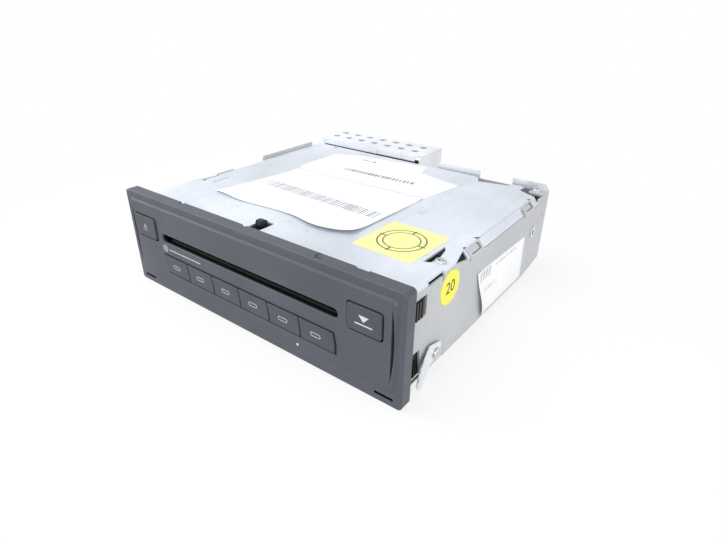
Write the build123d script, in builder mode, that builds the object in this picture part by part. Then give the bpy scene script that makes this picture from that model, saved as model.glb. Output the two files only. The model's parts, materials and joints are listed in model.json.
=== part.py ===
from build123d import *
import os
from math import atan2, cos, degrees, floor, radians, sin, sqrt

# Six-disc in-dash changer.  X runs to the right, Y from the front face to the back, Z up, in
# millimetres.  Depths are measured back from the flat front face of the panel, and the origin
# stands under the middle of the whole unit.

# ---- Driving dimensions: front panel -------------------------------------------------------
PANEL_W = 186.0
PANEL_H = 56.3
PANEL_CORNER = 2.0
RIM_DEPTH = 6.55
RIM_WALL = 1.8
PANEL_WALL = 2.4
PANEL_EDGE_R = 0.7
FIELD_MARGIN_X = 3.3
FIELD_MARGIN_TOP = 3.9
FIELD_MARGIN_FOOT = 9.3
FIELD_SLOPE = 1.0
FIELD_RISE = 0.9
SCOOP_H = 37.0
SCOOP_BOW = 1.5
SCOOP_DEEP = 0.7
SLOT_W = 123.0
SLOT_H = 4.6
SLOT_Z = 35.1
SLOT_X = -1.1
SLOT_BEVEL = 0.4
KEY_SLOT_W = 9.6
KEY_SLOT_H = 1.4
KEY_SLOT_Z = 4.0
KEY_SLOT_X = 84.0

# ---- Driving dimensions: buttons -----------------------------------------------------------
BUTTON_GAP = 0.6
BUTTON_DROP = 0.4
BUTTON_PROUD = 0.8
BUTTON_TRAVEL = 0.8
BUTTON_EDGE_R = 0.45
EJECT_W = 18.2
EJECT_X = -76.3
LOAD_W = 17.4
LOAD_X = 74.4
TOP_BUTTON_H = 12.2
TOP_BUTTON_Z = 38.2
TOP_BUTTON_CORNER = 1.2
DISC_COUNT = 6
ROW_W = 120.6
ROW_H = 10.0
ROW_X = -1.9
ROW_Z = 20.0
ROW_LEAN = 1.2
ROW_BOW = 0.5
FLANGE_T = 1.0
FLANGE_LIP = 1.3
STEM_R = 1.5
PRESS_CLEAR = 0.1
LAMP_R = 0.65
LAMP_X = 35.3
LAMP_Z = 8.2

# ---- Driving dimensions: sheet-metal case --------------------------------------------------
SHEET = 1.0
SIDE_OVERHANG = 3.25
TOP_OVERHANG = 5.6
CASE_FOOT = 3.0
CASE_BACK = 160.7
BEND_R = 0.9
SHOULDER_RUN = 3.35
SHOULDER_DROP = 3.9
SHOULDER_FRONT = 57.0
SHOULDER_BACK = 145.0
LAND_BACK = 44.0
TAB_LONG = 13.0
TAB_FRONT = 58.5
TAB_BACK = 124.0
EAR_LONG = 10.5
LEFT_EAR_H = 3.3
LEFT_EAR_FRONT = 98.0
LEFT_EAR_BACK = 150.0
TAIL_EDGE_H = 3.3
TAIL_EDGE_LEFT = 15.0
TAIL_NOTCH_LEFT = 45.0
TAIL_NOTCH_RIGHT = 67.0
TAIL_NOTCH_DEEP = 8.0
RAMP_LONG = 28.0
RAMP_RISE = 4.3
SIDE_HOLE_R = 1.65
SIDE_HOLE_COLLAR = 1.5
SIDE_HOLE_DEPTH = 142.0
SIDE_HOLE_Z = 30.6
BOSS_R = 3.3
BOSS_H = 0.5
SCREW_HEAD_R = 2.5
SCREW_HEAD_H = 1.2
SCREW_R = 1.4
SCREW_LONG = 4.0
FIT = 0.05
GAP = 0.3

# ---- Driving dimensions: bezel latches and locking springs ---------------------------------
LATCH_DEPTH = 16.2
LATCH_LONG = 8.0
LATCH_H = 8.8
LATCH_Z = 41.2
LATCH_T = 1.1
LATCH_PROUD = 0.7
LATCH_RIBS = 3
TOP_HOOK_X = -5.5
TOP_HOOK_W = 7.0
TOP_HOOK_HEAD_W = 3.6
TOP_HOOK_PROUD = 3.0
FOOT_HOOK_X = 45.0
SPRING_T = 0.5
RIVET_DEPTH = 30.7
RIVET_Z = 10.9
RIVET_R = 1.6
RIVET_HEAD_R = 2.8
SPRING_PAD = 7.5
SPRING_FREE = 18.0
SPRING_FLARE = 1.5

# ---- Driving dimensions: connector hood ----------------------------------------------------
HOOD_LEFT = -86.7
HOOD_RIGHT = 0.5
HOOD_TOP = 55.0
HOOD_FOOT = 24.0
HOOD_BACK = 191.0
HOOD_LAP = 1.7
HOOD_LIP_RIGHT = -36.0
VENT_W = 5.8
VENT_H = 4.4
VENT_COLUMNS = 7
VENT_PITCH_X = 11.9
VENT_PITCH_Y = 11.2
PLUG_W = 46.0
PLUG_H = 16.0
PLUG_Z = 36.0
PLUG_X = -38.0
PLUG_LONG = 24.0
PLUG_WALL = 1.6
PLUG_CAVITY = 14.0
PIN_COUNT = 10

# ---- Driving dimensions: disc path and mechanism -------------------------------------------
DISC_R = 60.0
DISC_T = 1.2
DISC_DEPTH = 89.0
DECK_Z = 12.2
DECK_T = 1.2
DECK_MARGIN = 3.75
DECK_FRONT = 12.6
DECK_HOLE_R = 48.0
DAMPER_R = 4.5
BOARD_Z = 5.5
BOARD_T = 1.6
BOARD_W = 146.0
BOARD_LONG = 100.0
GEAR_T = 1.8
GEAR_MODULE = 1.0
RING_TEETH = 136
POST_TEETH = 12
RING_WIDTH = 8.0
POST_R = 3.0
POST_FRONT_ANGLE = -27.0
POST_RIGHT_ANGLE = 47.5
POST_LEFT_ANGLE = 123.5
LIFT_ANGLE = 235.0
LIFT_MOTOR_R = 8.0
LIFT_MOTOR_H = 10.6
RING_TURN = 20.0
TRAY_T = 1.0
TRAY_PITCH = 2.4
TRAY_R = 64.0
TRAY_BORE_R = 50.0
TRAY_LIFT = 1.0
LOWER_STACK_Z = 14.6
UPPER_STACK_Z = 42.3
RAIL_X = -66.0
RAIL_DEPTH = 36.0
RAIL_R = 2.0
LUG_R = 5.5
SWING_X = -75.0
SWING_DEPTH = 149.0
SWING_PIN_R = 3.0
SWING_HUB_R = 6.5
ARM_W = 24.0
ARM_T = 1.2
ARM_Z = 23.0
CLAMP_ARM_Z = 39.4
CLAMP_TILT = 1.0
CLAMP_R = 11.0
TABLE_R = 12.0
SPINDLE_R = 11.0
CONE_R = 7.3
RAIL_GAP = 9.5
OPTIC_RAIL_R = 1.2
OPTIC_Z = 28.0
SCREW_OFFSET = -5.5
FEED_SCREW_R = 1.4
FEED_MOTOR_R = 3.5
FEED_MOTOR_LONG = 12.0
SLED_START = 23.0
SLED_TRAVEL = 34.0
SLED_LONG = 15.0
LENS_R = 2.6
ROLLER_R = 4.4
ROLLER_TAPER = 0.5
ROLLER_LONG = 50.0
ROLLER_INNER = 8.0
ROLLER_SHAFT_R = 1.5
ROLLER_DEPTH = 24.5
LEVER_DEPTH = 18.5
LEVER_X = 61.2
LEVER_T = 1.2
FINE_MODULE = 0.5
ROLLER_TEETH = 18
DRIVE_TEETH = 20
DRIVE_GEAR_T = 2.6
PULLEY_R = 5.6
MOTOR_PULLEY_R = 2.2
BELT_T = 0.8
LOAD_MOTOR_R = 5.0
LOAD_MOTOR_LONG = 20.0
LOAD_MOTOR_DEPTH = 28.5
GUIDE_Z = 37.7
GUIDE_T = 1.6
SWITCH_SIZE = 6.0
FRONT_BOARD_DEPTH = 9.5
FRONT_BOARD_FOOT = 7.0

# ---- Driving dimensions: paper and stickers ------------------------------------------------
PAPER_T = 0.25
STICKER_T = 0.2
ROUND_STICKER_R = 8.3
ROUND_STICKER_DEPTH = 40.6
ROUND_STICKER_Z = 40.0

# ---- Worked-out places ---------------------------------------------------------------------
NOSE = FIELD_RISE + BUTTON_PROUD
FRONT_Y = (NOSE - HOOD_BACK) / 2
CASE_W = PANEL_W - 2 * SIDE_OVERHANG
CASE_TOP = PANEL_H - TOP_OVERHANG
CASE_HALF = CASE_W / 2
CASE_INNER = CASE_HALF - SHEET
CASE_FRONT = PANEL_WALL + GAP
DECK_W = 2 * (CASE_INNER - DECK_MARGIN)
LID_X = CASE_HALF - SHOULDER_RUN
LID_FOOT = CASE_TOP - SHEET
WALL_LOW_TOP = CASE_TOP - SHOULDER_DROP
FLOOR_Z = CASE_FOOT + SHEET
DECK_TOP = DECK_Z + DECK_T
RING_R = RING_TEETH * GEAR_MODULE / 2
POST_RING = (RING_TEETH + POST_TEETH) * GEAR_MODULE / 2
GEAR_Z = DECK_Z - GAP - 0.5 - GEAR_T
POST_HIGH = LID_FOOT - 2 * GAP
SWING_REACH = sqrt(SWING_X**2 + (SWING_DEPTH - DISC_DEPTH) ** 2)
SPINDLE_DEPTH = SWING_DEPTH - SWING_REACH
ARM_TOP = ARM_Z + ARM_T
TABLE_TOP = SLOT_Z - DISC_T / 2
ROLLER_Z = TABLE_TOP - ROLLER_R - FIT
LEVER_REACH = (ROLLER_TEETH + DRIVE_TEETH) * FINE_MODULE / 2
LEVER_Z = ROLLER_Z - sqrt(LEVER_REACH**2 - (ROLLER_DEPTH - LEVER_DEPTH) ** 2)
LOAD_MOTOR_Z = DECK_TOP + GAP + LOAD_MOTOR_R
CHEEK_X = LEVER_X + LEVER_T + 1.8
DRIVE_GEAR_X = CHEEK_X + LEVER_T + GAP
PULLEY_X = DRIVE_GEAR_X + DRIVE_GEAR_T + GAP
FLANGE_DEPTH = PANEL_WALL + GAP
STEM_END = FLANGE_DEPTH + FLANGE_T + 2.0
SWITCH_TOP = STEM_END + BUTTON_TRAVEL + PRESS_CLEAR
ROW_PITCH = ROW_W / DISC_COUNT
SPRING_X = CASE_HALF + BOSS_H + GAP
SPRING_BEND = RIVET_DEPTH - SPRING_PAD / 2 - 1.6
SPRING_TIP = RIVET_DEPTH - SPRING_FREE
TAIL_BACK = CASE_BACK + SHEET
SCREW_SPOT_X = LID_X - 2.0
FRONT_SCREW_DEPTH = 40.1
REAR_SCREW_DEPTH = 155.8

os.makedirs("parts", exist_ok=True)


def front(depth):
    """A plane facing the viewer, so many millimetres behind the front face: local (x, z)."""
    return Plane(origin=(0, FRONT_Y + depth, 0), x_dir=(1, 0, 0), z_dir=(0, -1, 0))


def level(height):
    """A horizontal plane at a height: local (x, depth)."""
    return Plane(origin=(0, FRONT_Y, height), x_dir=(1, 0, 0), z_dir=(0, 0, 1))


def side(x):
    """An upright plane across the unit at x, facing right: local (depth, z)."""
    return Plane(origin=(x, FRONT_Y, 0), x_dir=(0, 1, 0), z_dir=(1, 0, 0))


def save(solid, name):
    """Label a finished piece and write its file."""
    solid.part.label = name
    export_step(solid.part, f"parts/{name}.step")


def polygon(points):
    """Closed outline through a few corner points, filled, in the running sketch."""
    Polygon(*points, align=None)


def gear_outline(teeth, module, turn):
    """Spur gear outline with straight flanks, one tooth centred on the angle turn."""
    step = 360 / teeth
    root = module * (teeth / 2 - 1.25)
    tip = module * (teeth / 2 + 0.9)
    corners = []
    for tooth in range(teeth):
        middle = turn + tooth * step
        for radius, share in ((root, -0.30), (tip, -0.13), (tip, 0.13), (root, 0.30)):
            angle = radians(middle + share * step)
            corners.append((radius * cos(angle), radius * sin(angle)))
    polygon(corners)


def meshed_turn(angle, teeth, other_teeth):
    """Turn that puts a gap of a gear on the tooth of the ring gear that it meets at an angle."""
    ring_step = 360 / other_teeth
    lag = angle - ring_step * floor(angle / ring_step + 0.5)
    return angle + 180 + lag * other_teeth / teeth + 180 / teeth


def ring_spot(angle, radius):
    """Local (x, depth) of a point round the disc centre."""
    return (radius * cos(radians(angle)), DISC_DEPTH + radius * sin(radians(angle)))


# ---- Front panel ---------------------------------------------------------------------------
FIELD_W = PANEL_W - 2 * FIELD_MARGIN_X
FIELD_H = PANEL_H - FIELD_MARGIN_TOP - FIELD_MARGIN_FOOT
FIELD_Z = FIELD_MARGIN_FOOT + FIELD_H / 2
SCOOP_X = FIELD_W / 2 - 2.4
BOARD_BOSSES = [(-80.0, 12.0), (80.0, 12.0), (-60.5, 44.5), (60.5, 44.5)]
BUTTON_SPOTS = [(EJECT_X, TOP_BUTTON_Z), (LOAD_X, TOP_BUTTON_Z)]
BUTTON_SPOTS += [(ROW_X + (i + 0.5) * ROW_PITCH - ROW_W / 2, ROW_Z) for i in range(DISC_COUNT)]


def row_outline(left, right, grow, drop=0):
    """Stretch of the disc-button row from left to right, with leaning bowed ends."""
    top = ROW_Z + ROW_H / 2 + grow
    foot = ROW_Z - ROW_H / 2 - grow - drop
    lean = ROW_LEAN / 2
    with BuildLine() as edge:
        Line((left - lean - grow, top), (right - lean + grow, top))
        ThreePointArc((right - lean + grow, top), (right + ROW_BOW + grow, ROW_Z), (right + lean + grow, foot))
        Line((right + lean + grow, foot), (left + lean - grow, foot))
        ThreePointArc((left + lean - grow, foot), (left + ROW_BOW - grow, ROW_Z), (left - lean - grow, top))
    make_face(edge.edges())


with BuildPart() as front_bezel:
    with BuildSketch(front(0)):
        with Locations((0, PANEL_H / 2)):
            RectangleRounded(PANEL_W, PANEL_H, PANEL_CORNER)
    extrude(amount=-RIM_DEPTH)
    fillet(front_bezel.edges().group_by(Axis.Y)[0], PANEL_EDGE_R)
    with BuildSketch(front(PANEL_WALL)):
        with Locations((0, PANEL_H / 2)):
            RectangleRounded(PANEL_W - 2 * RIM_WALL, PANEL_H - 2 * RIM_WALL, PANEL_CORNER / 2)
    extrude(amount=PANEL_WALL - RIM_DEPTH, mode=Mode.SUBTRACT)
    # The cushioned field rises from the flat face with a sloping border.
    with BuildSketch(front(0)):
        with Locations((0, FIELD_Z)):
            RectangleRounded(FIELD_W, FIELD_H, PANEL_CORNER + FIELD_SLOPE)
    with BuildSketch(front(-FIELD_RISE)):
        with Locations((0, FIELD_Z)):
            RectangleRounded(FIELD_W - 2 * FIELD_SLOPE, FIELD_H - 2 * FIELD_SLOPE, PANEL_CORNER)
    loft(ruled=True)
    # Crescent scoops beside both ends of the field.
    with BuildSketch(front(-FIELD_RISE)):
        with BuildLine():
            Line((SCOOP_X, FIELD_Z + SCOOP_H / 2), (SCOOP_X, FIELD_Z - SCOOP_H / 2))
            ThreePointArc(
                (SCOOP_X, FIELD_Z - SCOOP_H / 2),
                (SCOOP_X + SCOOP_BOW, FIELD_Z),
                (SCOOP_X, FIELD_Z + SCOOP_H / 2),
            )
        make_face()
        mirror(about=Plane.YZ)
    extrude(amount=-SCOOP_DEEP - FIELD_RISE / 2, mode=Mode.SUBTRACT)
    # Disc slot with a bevelled mouth, button windows, key slots and lamp hole.
    with BuildSketch(front(-FIELD_RISE)):
        with Locations((SLOT_X, SLOT_Z)):
            SlotOverall(SLOT_W, SLOT_H)
    extrude(amount=-FIELD_RISE - PANEL_WALL, mode=Mode.SUBTRACT)
    with BuildSketch(front(-FIELD_RISE)):
        with Locations((SLOT_X, SLOT_Z)):
            SlotOverall(SLOT_W + 2 * SLOT_BEVEL, SLOT_H + 2 * SLOT_BEVEL)
    extrude(amount=-SLOT_BEVEL, taper=45, mode=Mode.SUBTRACT)
    with BuildSketch(front(-FIELD_RISE)):
        for x, width in ((EJECT_X, EJECT_W), (LOAD_X, LOAD_W)):
            with Locations((x, TOP_BUTTON_Z - BUTTON_DROP / 2)):
                RectangleRounded(
                    width + 2 * BUTTON_GAP,
                    TOP_BUTTON_H + 2 * BUTTON_GAP + BUTTON_DROP,
                    TOP_BUTTON_CORNER + BUTTON_GAP,
                )
        row_outline(ROW_X - ROW_W / 2, ROW_X + ROW_W / 2, BUTTON_GAP, BUTTON_DROP)
    extrude(amount=-FIELD_RISE - PANEL_WALL, mode=Mode.SUBTRACT)
    with BuildSketch(front(-FIELD_RISE)):
        with Locations((-KEY_SLOT_X, KEY_SLOT_Z), (KEY_SLOT_X, KEY_SLOT_Z)):
            Rectangle(KEY_SLOT_W, KEY_SLOT_H)
        with Locations((LAMP_X, LAMP_Z)):
            Circle(LAMP_R + FIT)
    extrude(amount=-FIELD_RISE - PANEL_WALL, mode=Mode.SUBTRACT)
    # Marks in the top of the rim: three notches in its back edge and a half-moon.
    with BuildSketch(level(PANEL_H - RIM_WALL / 2)):
        for x, width, deep in ((-49.2, 2.8, 2.0), (-1.7, 3.0, 1.0), (67.9, 6.6, 0.8)):
            with Locations((x, RIM_DEPTH - deep / 2)):
                Rectangle(width, deep)
        with Locations((47.0, 4.2)):
            Circle(2.0)
            Circle(1.4, mode=Mode.SUBTRACT)
        with Locations((48.7, 5.2)):
            Rectangle(2.2, 3.0, rotation=30, mode=Mode.SUBTRACT)
    extrude(amount=RIM_WALL, mode=Mode.SUBTRACT)
    # Side latches: arms behind the side walls, with ribbed noses that fill the wall windows.
    with BuildSketch(level(LATCH_Z - LATCH_H / 2)):
        arm_outer = CASE_INNER - GAP
        nose_outer = CASE_HALF + LATCH_PROUD
        nose_front = LATCH_DEPTH - LATCH_LONG / 2
        nose_back = LATCH_DEPTH + LATCH_LONG / 2
        polygon([
            (arm_outer - LATCH_T, PANEL_WALL),
            (arm_outer, PANEL_WALL),
            (arm_outer, nose_front),
            (nose_outer, nose_front),
            (nose_outer, nose_back - 2.5),
            (arm_outer, nose_back),
            (arm_outer - LATCH_T, nose_back + 0.6),
        ])
        mirror(about=Plane.YZ)
    extrude(amount=LATCH_H)
    with BuildSketch(level(LATCH_Z - LATCH_H / 2)):
        for rib in range(LATCH_RIBS):
            with Locations((nose_outer, nose_front + 1.6 + rib * 2.0)):
                Rectangle(LATCH_PROUD, 0.9)
        mirror(about=Plane.YZ)
    extrude(amount=LATCH_H, mode=Mode.SUBTRACT)
    # Lower side plates close the windows behind the locking springs.
    with BuildSketch(side(arm_outer - LATCH_T)):
        polygon([(PANEL_WALL, 5.2), (24.0, 5.2), (26.0, 7.0), (26.0, 21.4), (PANEL_WALL, 21.4)])
    plate = extrude(amount=LATCH_T)
    mirror(plate, about=Plane.YZ)
    with BuildSketch(side(arm_outer)):
        with Locations((12.6, 11.0)):
            with GridLocations(2.2, 1.0, 3, 1):
                Rectangle(0.9, 9.0)
    plate_ribs = extrude(amount=0.9)
    mirror(plate_ribs, about=Plane.YZ)
    # Top hook: an arm under the lid whose head stands up through a window in it.
    with BuildSketch(side(TOP_HOOK_X - TOP_HOOK_W / 2)):
        hook_top = LID_FOOT - GAP
        polygon([
            (PANEL_WALL, hook_top - 1.7),
            (24.2, hook_top - 1.7),
            (24.2, hook_top),
            (PANEL_WALL, hook_top),
        ])
    extrude(amount=TOP_HOOK_W)
    with BuildSketch(side(TOP_HOOK_X - TOP_HOOK_HEAD_W / 2)):
        polygon([
            (17.4, hook_top - 0.8),
            (22.6, hook_top - 0.8),
            (22.6, CASE_TOP + TOP_HOOK_PROUD - 0.8),
            (21.0, CASE_TOP + TOP_HOOK_PROUD),
            (18.4, CASE_TOP + TOP_HOOK_PROUD),
            (17.4, CASE_TOP + 0.9),
        ])
    extrude(amount=TOP_HOOK_HEAD_W)
    # Bottom hooks: arms over the floor, with heads down through its windows.
    with BuildSketch(side(FOOT_HOOK_X - TOP_HOOK_W / 2)):
        hook_foot = FLOOR_Z + GAP
        polygon([
            (PANEL_WALL, hook_foot),
            (15.6, hook_foot),
            (15.6, CASE_FOOT - 0.6),
            (17.6, CASE_FOOT - 0.6),
            (20.0, hook_foot),
            (20.0, hook_foot + 1.5),
            (PANEL_WALL, hook_foot + 1.5),
        ])
    foot_hook = extrude(amount=TOP_HOOK_W)
    mirror(foot_hook, about=Plane.YZ)
    # Bosses that carry the button board.
    with BuildSketch(front(PANEL_WALL)):
        with Locations(*BOARD_BOSSES):
            Circle(2.4)
    extrude(amount=PANEL_WALL - FRONT_BOARD_DEPTH)
save(front_bezel, "front_bezel")

with BuildPart() as slot_felt:
    with BuildSketch(front(PANEL_WALL)):
        for edge in (-1, 1):
            with Locations((SLOT_X, SLOT_Z + edge * (SLOT_H / 2 + 0.6))):
                Rectangle(SLOT_W - SLOT_H, 1.2)
    extrude(amount=-1.6)
save(slot_felt, "slot_felt")

with BuildPart() as status_lamp:
    with BuildSketch(front(-0.1)):
        with Locations((LAMP_X, LAMP_Z)):
            Circle(LAMP_R)
    extrude(amount=-FRONT_BOARD_DEPTH - 0.1)
    with BuildSketch(front(PANEL_WALL + GAP)):
        with Locations((LAMP_X, LAMP_Z)):
            Circle(LAMP_R + 0.7)
    extrude(amount=-1.0)
save(status_lamp, "status_lamp")


# ---- Buttons -------------------------------------------------------------------------------
def button_stem(x, z):
    """Plunger behind a button, from its flange towards its switch."""
    with BuildSketch(front(FLANGE_DEPTH)) as stem:
        with Locations((x, z)):
            Circle(STEM_R)
    extrude(stem.sketch, amount=FLANGE_DEPTH - STEM_END)


for name, x, width in (("eject_button", EJECT_X, EJECT_W), ("load_button", LOAD_X, LOAD_W)):
    with BuildPart() as top_button:
        with BuildSketch(front(-NOSE)):
            with Locations((x, TOP_BUTTON_Z)):
                RectangleRounded(width, TOP_BUTTON_H, TOP_BUTTON_CORNER)
        extrude(amount=-NOSE - FLANGE_DEPTH - FLANGE_T / 2)
        fillet(top_button.edges().group_by(Axis.Y)[0], BUTTON_EDGE_R)
        with BuildSketch(front(FLANGE_DEPTH)):
            with Locations((x, TOP_BUTTON_Z)):
                Rectangle(width - 2 * BUTTON_GAP, TOP_BUTTON_H + 2 * FLANGE_LIP)
        extrude(amount=-FLANGE_T)
        button_stem(x, TOP_BUTTON_Z)
    save(top_button, name)

for i in range(DISC_COUNT):
    left = ROW_X - ROW_W / 2 + i * ROW_PITCH + (BUTTON_GAP / 2 if i else 0)
    right = ROW_X - ROW_W / 2 + (i + 1) * ROW_PITCH - (BUTTON_GAP / 2 if i < DISC_COUNT - 1 else 0)
    with BuildPart() as disc_button:
        with BuildSketch(front(-NOSE)):
            row_outline(left, right, 0)
        extrude(amount=-NOSE - FLANGE_DEPTH - FLANGE_T / 2)
        fillet(disc_button.edges().group_by(Axis.Y)[0], BUTTON_EDGE_R)
        with BuildSketch(front(FLANGE_DEPTH)):
            with Locations(BUTTON_SPOTS[i + 2]):
                Rectangle(ROW_PITCH - ROW_LEAN - 2 * BUTTON_GAP, ROW_H + 2 * FLANGE_LIP)
        extrude(amount=-FLANGE_T)
        button_stem(*BUTTON_SPOTS[i + 2])
    save(disc_button, f"disc_button_{i + 1}")

# ---- Button board behind the panel -----------------------------------------------------------
FRONT_BOARD_TOP = LID_FOOT - 2.6
with BuildPart() as button_board:
    with BuildSketch(front(FRONT_BOARD_DEPTH)):
        with Locations((0, (FRONT_BOARD_FOOT + FRONT_BOARD_TOP) / 2)):
            Rectangle(DECK_W, FRONT_BOARD_TOP - FRONT_BOARD_FOOT)
        with Locations((SLOT_X, SLOT_Z)):
            Rectangle(SLOT_W, SLOT_H + 2.4, mode=Mode.SUBTRACT)
    extrude(amount=-BOARD_T)
save(button_board, "button_board")

with BuildPart() as tact_switches:
    with BuildSketch(front(SWITCH_TOP)):
        with Locations(*BUTTON_SPOTS):
            Circle(STEM_R)
    extrude(amount=SWITCH_TOP - FRONT_BOARD_DEPTH)
    with BuildSketch(front(SWITCH_TOP + 0.9)):
        with Locations(*BUTTON_SPOTS):
            Rectangle(SWITCH_SIZE, SWITCH_SIZE)
    extrude(amount=SWITCH_TOP + 0.9 - FRONT_BOARD_DEPTH)
save(tact_switches, "tact_switches")

# ---- Chassis tub -----------------------------------------------------------------------------
KEY_WAY_X = KEY_SLOT_X - KEY_SLOT_W / 2 - GAP
KEY_WAY_BACK = 40.0
STANDOFFS = [(-68.0, 40.0), (68.0, 40.0), (-68.0, 130.0), (68.0, 130.0)]


SHOULDER_SLOPE = sqrt(SHOULDER_RUN**2 + SHOULDER_DROP**2)
OUT_X = SHOULDER_DROP / SHOULDER_SLOPE
OUT_Z = SHOULDER_RUN / SHOULDER_SLOPE


def shoulder_tab(first, second):
    """Cross-section of a strip lying along the bevelled shoulder of the lid, right side."""
    polygon([
        (CASE_HALF + first * OUT_X, WALL_LOW_TOP + first * OUT_Z),
        (LID_X + first * OUT_X, CASE_TOP + first * OUT_Z),
        (LID_X + second * OUT_X, CASE_TOP + second * OUT_Z),
        (CASE_HALF + second * OUT_X, WALL_LOW_TOP + second * OUT_Z),
    ])


with BuildPart() as chassis:
    with BuildSketch(front(CASE_FRONT)):
        with Locations((0, (CASE_FOOT + LID_FOOT) / 2)):
            Rectangle(CASE_W, LID_FOOT - CASE_FOOT)
        with Locations((0, (FLOOR_Z + LID_FOOT) / 2)):
            Rectangle(2 * CASE_INNER, LID_FOOT - FLOOR_Z, mode=Mode.SUBTRACT)
    extrude(amount=CASE_FRONT - CASE_BACK)
    fillet(chassis.edges().filter_by(Axis.Y).group_by(Axis.Z)[0], BEND_R)
    # Windows and trimmed edges of both side walls.
    with BuildSketch(side(-CASE_HALF)):
        with Locations((LATCH_DEPTH, LATCH_Z)):
            Rectangle(LATCH_LONG + 1.0, LATCH_H + 1.0)
        polygon([
            (8.0, RIVET_Z - 5.8),
            (SPRING_TIP + 7.0, RIVET_Z - 5.8),
            (SPRING_TIP + 4.6, RIVET_Z + 9.2),
            (8.0, RIVET_Z + 9.8),
        ])
        polygon([
            (LAND_BACK, LID_FOOT),
            (SHOULDER_FRONT, WALL_LOW_TOP),
            (SHOULDER_BACK, WALL_LOW_TOP),
            (SHOULDER_BACK, LID_FOOT),
        ])
        polygon([(CASE_BACK - RAMP_LONG, CASE_FOOT), (CASE_BACK, CASE_FOOT), (CASE_BACK, CASE_FOOT + RAMP_RISE)])
        with Locations((155.0, 37.8)):
            Circle(0.8)
        with Locations((27.5, LID_FOOT - 0.5)):
            Rectangle(13.0, 1.0)
        with Locations((33.5, LID_FOOT - 1.8)):
            Rectangle(1.0, 3.6)
    extrude(amount=CASE_W, mode=Mode.SUBTRACT)
    # The floor climbs towards the back.
    with BuildSketch(side(-CASE_INNER)):
        polygon([
            (CASE_BACK - RAMP_LONG, CASE_FOOT),
            (CASE_BACK, CASE_FOOT + RAMP_RISE),
            (CASE_BACK, FLOOR_Z + RAMP_RISE),
            (CASE_BACK - RAMP_LONG, FLOOR_Z),
        ])
    extrude(amount=2 * CASE_INNER)
    # Key ways open the floor behind the two release slots of the panel.
    with BuildSketch(level(CASE_FOOT)):
        with Locations(((KEY_WAY_X + CASE_HALF) / 2, (CASE_FRONT + KEY_WAY_BACK) / 2)):
            Rectangle(CASE_HALF - KEY_WAY_X, KEY_WAY_BACK - CASE_FRONT)
        mirror(about=Plane.YZ)
    extrude(amount=SHEET + GAP, mode=Mode.SUBTRACT)
    # Windows for the two bottom hooks, and vents in the floor.
    with BuildSketch(level(CASE_FOOT)):
        with Locations((FOOT_HOOK_X, 17.8), (-FOOT_HOOK_X, 17.8)):
            Rectangle(TOP_HOOK_W + 1.0, 5.6)
        with GridLocations(16.0, 12.0, 5, 2):
            with Locations((0, 100.0)):
                SlotOverall(10.0, 2.4)
    extrude(amount=SHEET, mode=Mode.SUBTRACT)
    # Standoffs for the main board.
    with BuildSketch(level(FLOOR_Z)):
        with Locations(*STANDOFFS):
            Circle(3.0)
    extrude(amount=BOARD_Z - FLOOR_Z)
    # Round bosses for the locking springs and tapped fixing holes.
    with BuildSketch(side(CASE_HALF)):
        with Locations((RIVET_DEPTH, RIVET_Z)):
            Circle(RIVET_R + 0.9)
        with Locations((SIDE_HOLE_DEPTH, SIDE_HOLE_Z)):
            Circle(BOSS_R)
    bosses = extrude(amount=BOSS_H)
    mirror(bosses, about=Plane.YZ)
    with BuildSketch(side(CASE_INNER)):
        with Locations((SIDE_HOLE_DEPTH, SIDE_HOLE_Z)):
            Circle(BOSS_R)
    collars = extrude(amount=-SIDE_HOLE_COLLAR)
    mirror(collars, about=Plane.YZ)
    with BuildSketch(side(-CASE_W)):
        with Locations((SIDE_HOLE_DEPTH, SIDE_HOLE_Z)):
            Circle(SIDE_HOLE_R)
    extrude(amount=2 * CASE_W, mode=Mode.SUBTRACT)
    # Tabs folded from the side walls over the shoulders of the lid.
    for depth in (TAB_FRONT, TAB_BACK):
        with BuildSketch(front(depth)):
            polygon([
                (CASE_INNER, WALL_LOW_TOP - 2.4),
                (CASE_HALF, WALL_LOW_TOP - 2.4),
                (CASE_HALF + SHEET * OUT_X, WALL_LOW_TOP - 1.2),
                (CASE_HALF + SHEET * OUT_X, WALL_LOW_TOP + SHEET * OUT_Z),
                (LID_X + SHEET * OUT_X, CASE_TOP + SHEET * OUT_Z),
                (LID_X + FIT * OUT_X, CASE_TOP + FIT * OUT_Z),
                (CASE_HALF + FIT, WALL_LOW_TOP),
                (CASE_INNER, WALL_LOW_TOP),
            ])
        shoulder_tabs = extrude(amount=-TAB_LONG)
        if depth == TAB_FRONT:
            mirror(shoulder_tabs, about=Plane.YZ)
        slope_face = Plane(
            origin=(
                (CASE_HALF + LID_X) / 2 + SHEET * OUT_X,
                FRONT_Y + depth + TAB_LONG / 2,
                (WALL_LOW_TOP + CASE_TOP) / 2 + SHEET * OUT_Z,
            ),
            x_dir=(0, 1, 0),
            z_dir=(OUT_X, 0, OUT_Z),
        )
        with BuildSketch(slope_face):
            RectangleRounded(TAB_LONG - 2.8, SHOULDER_SLOPE - 1.6, 1.2)
        extrude(amount=-0.7 * SHEET, mode=Mode.SUBTRACT)
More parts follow.
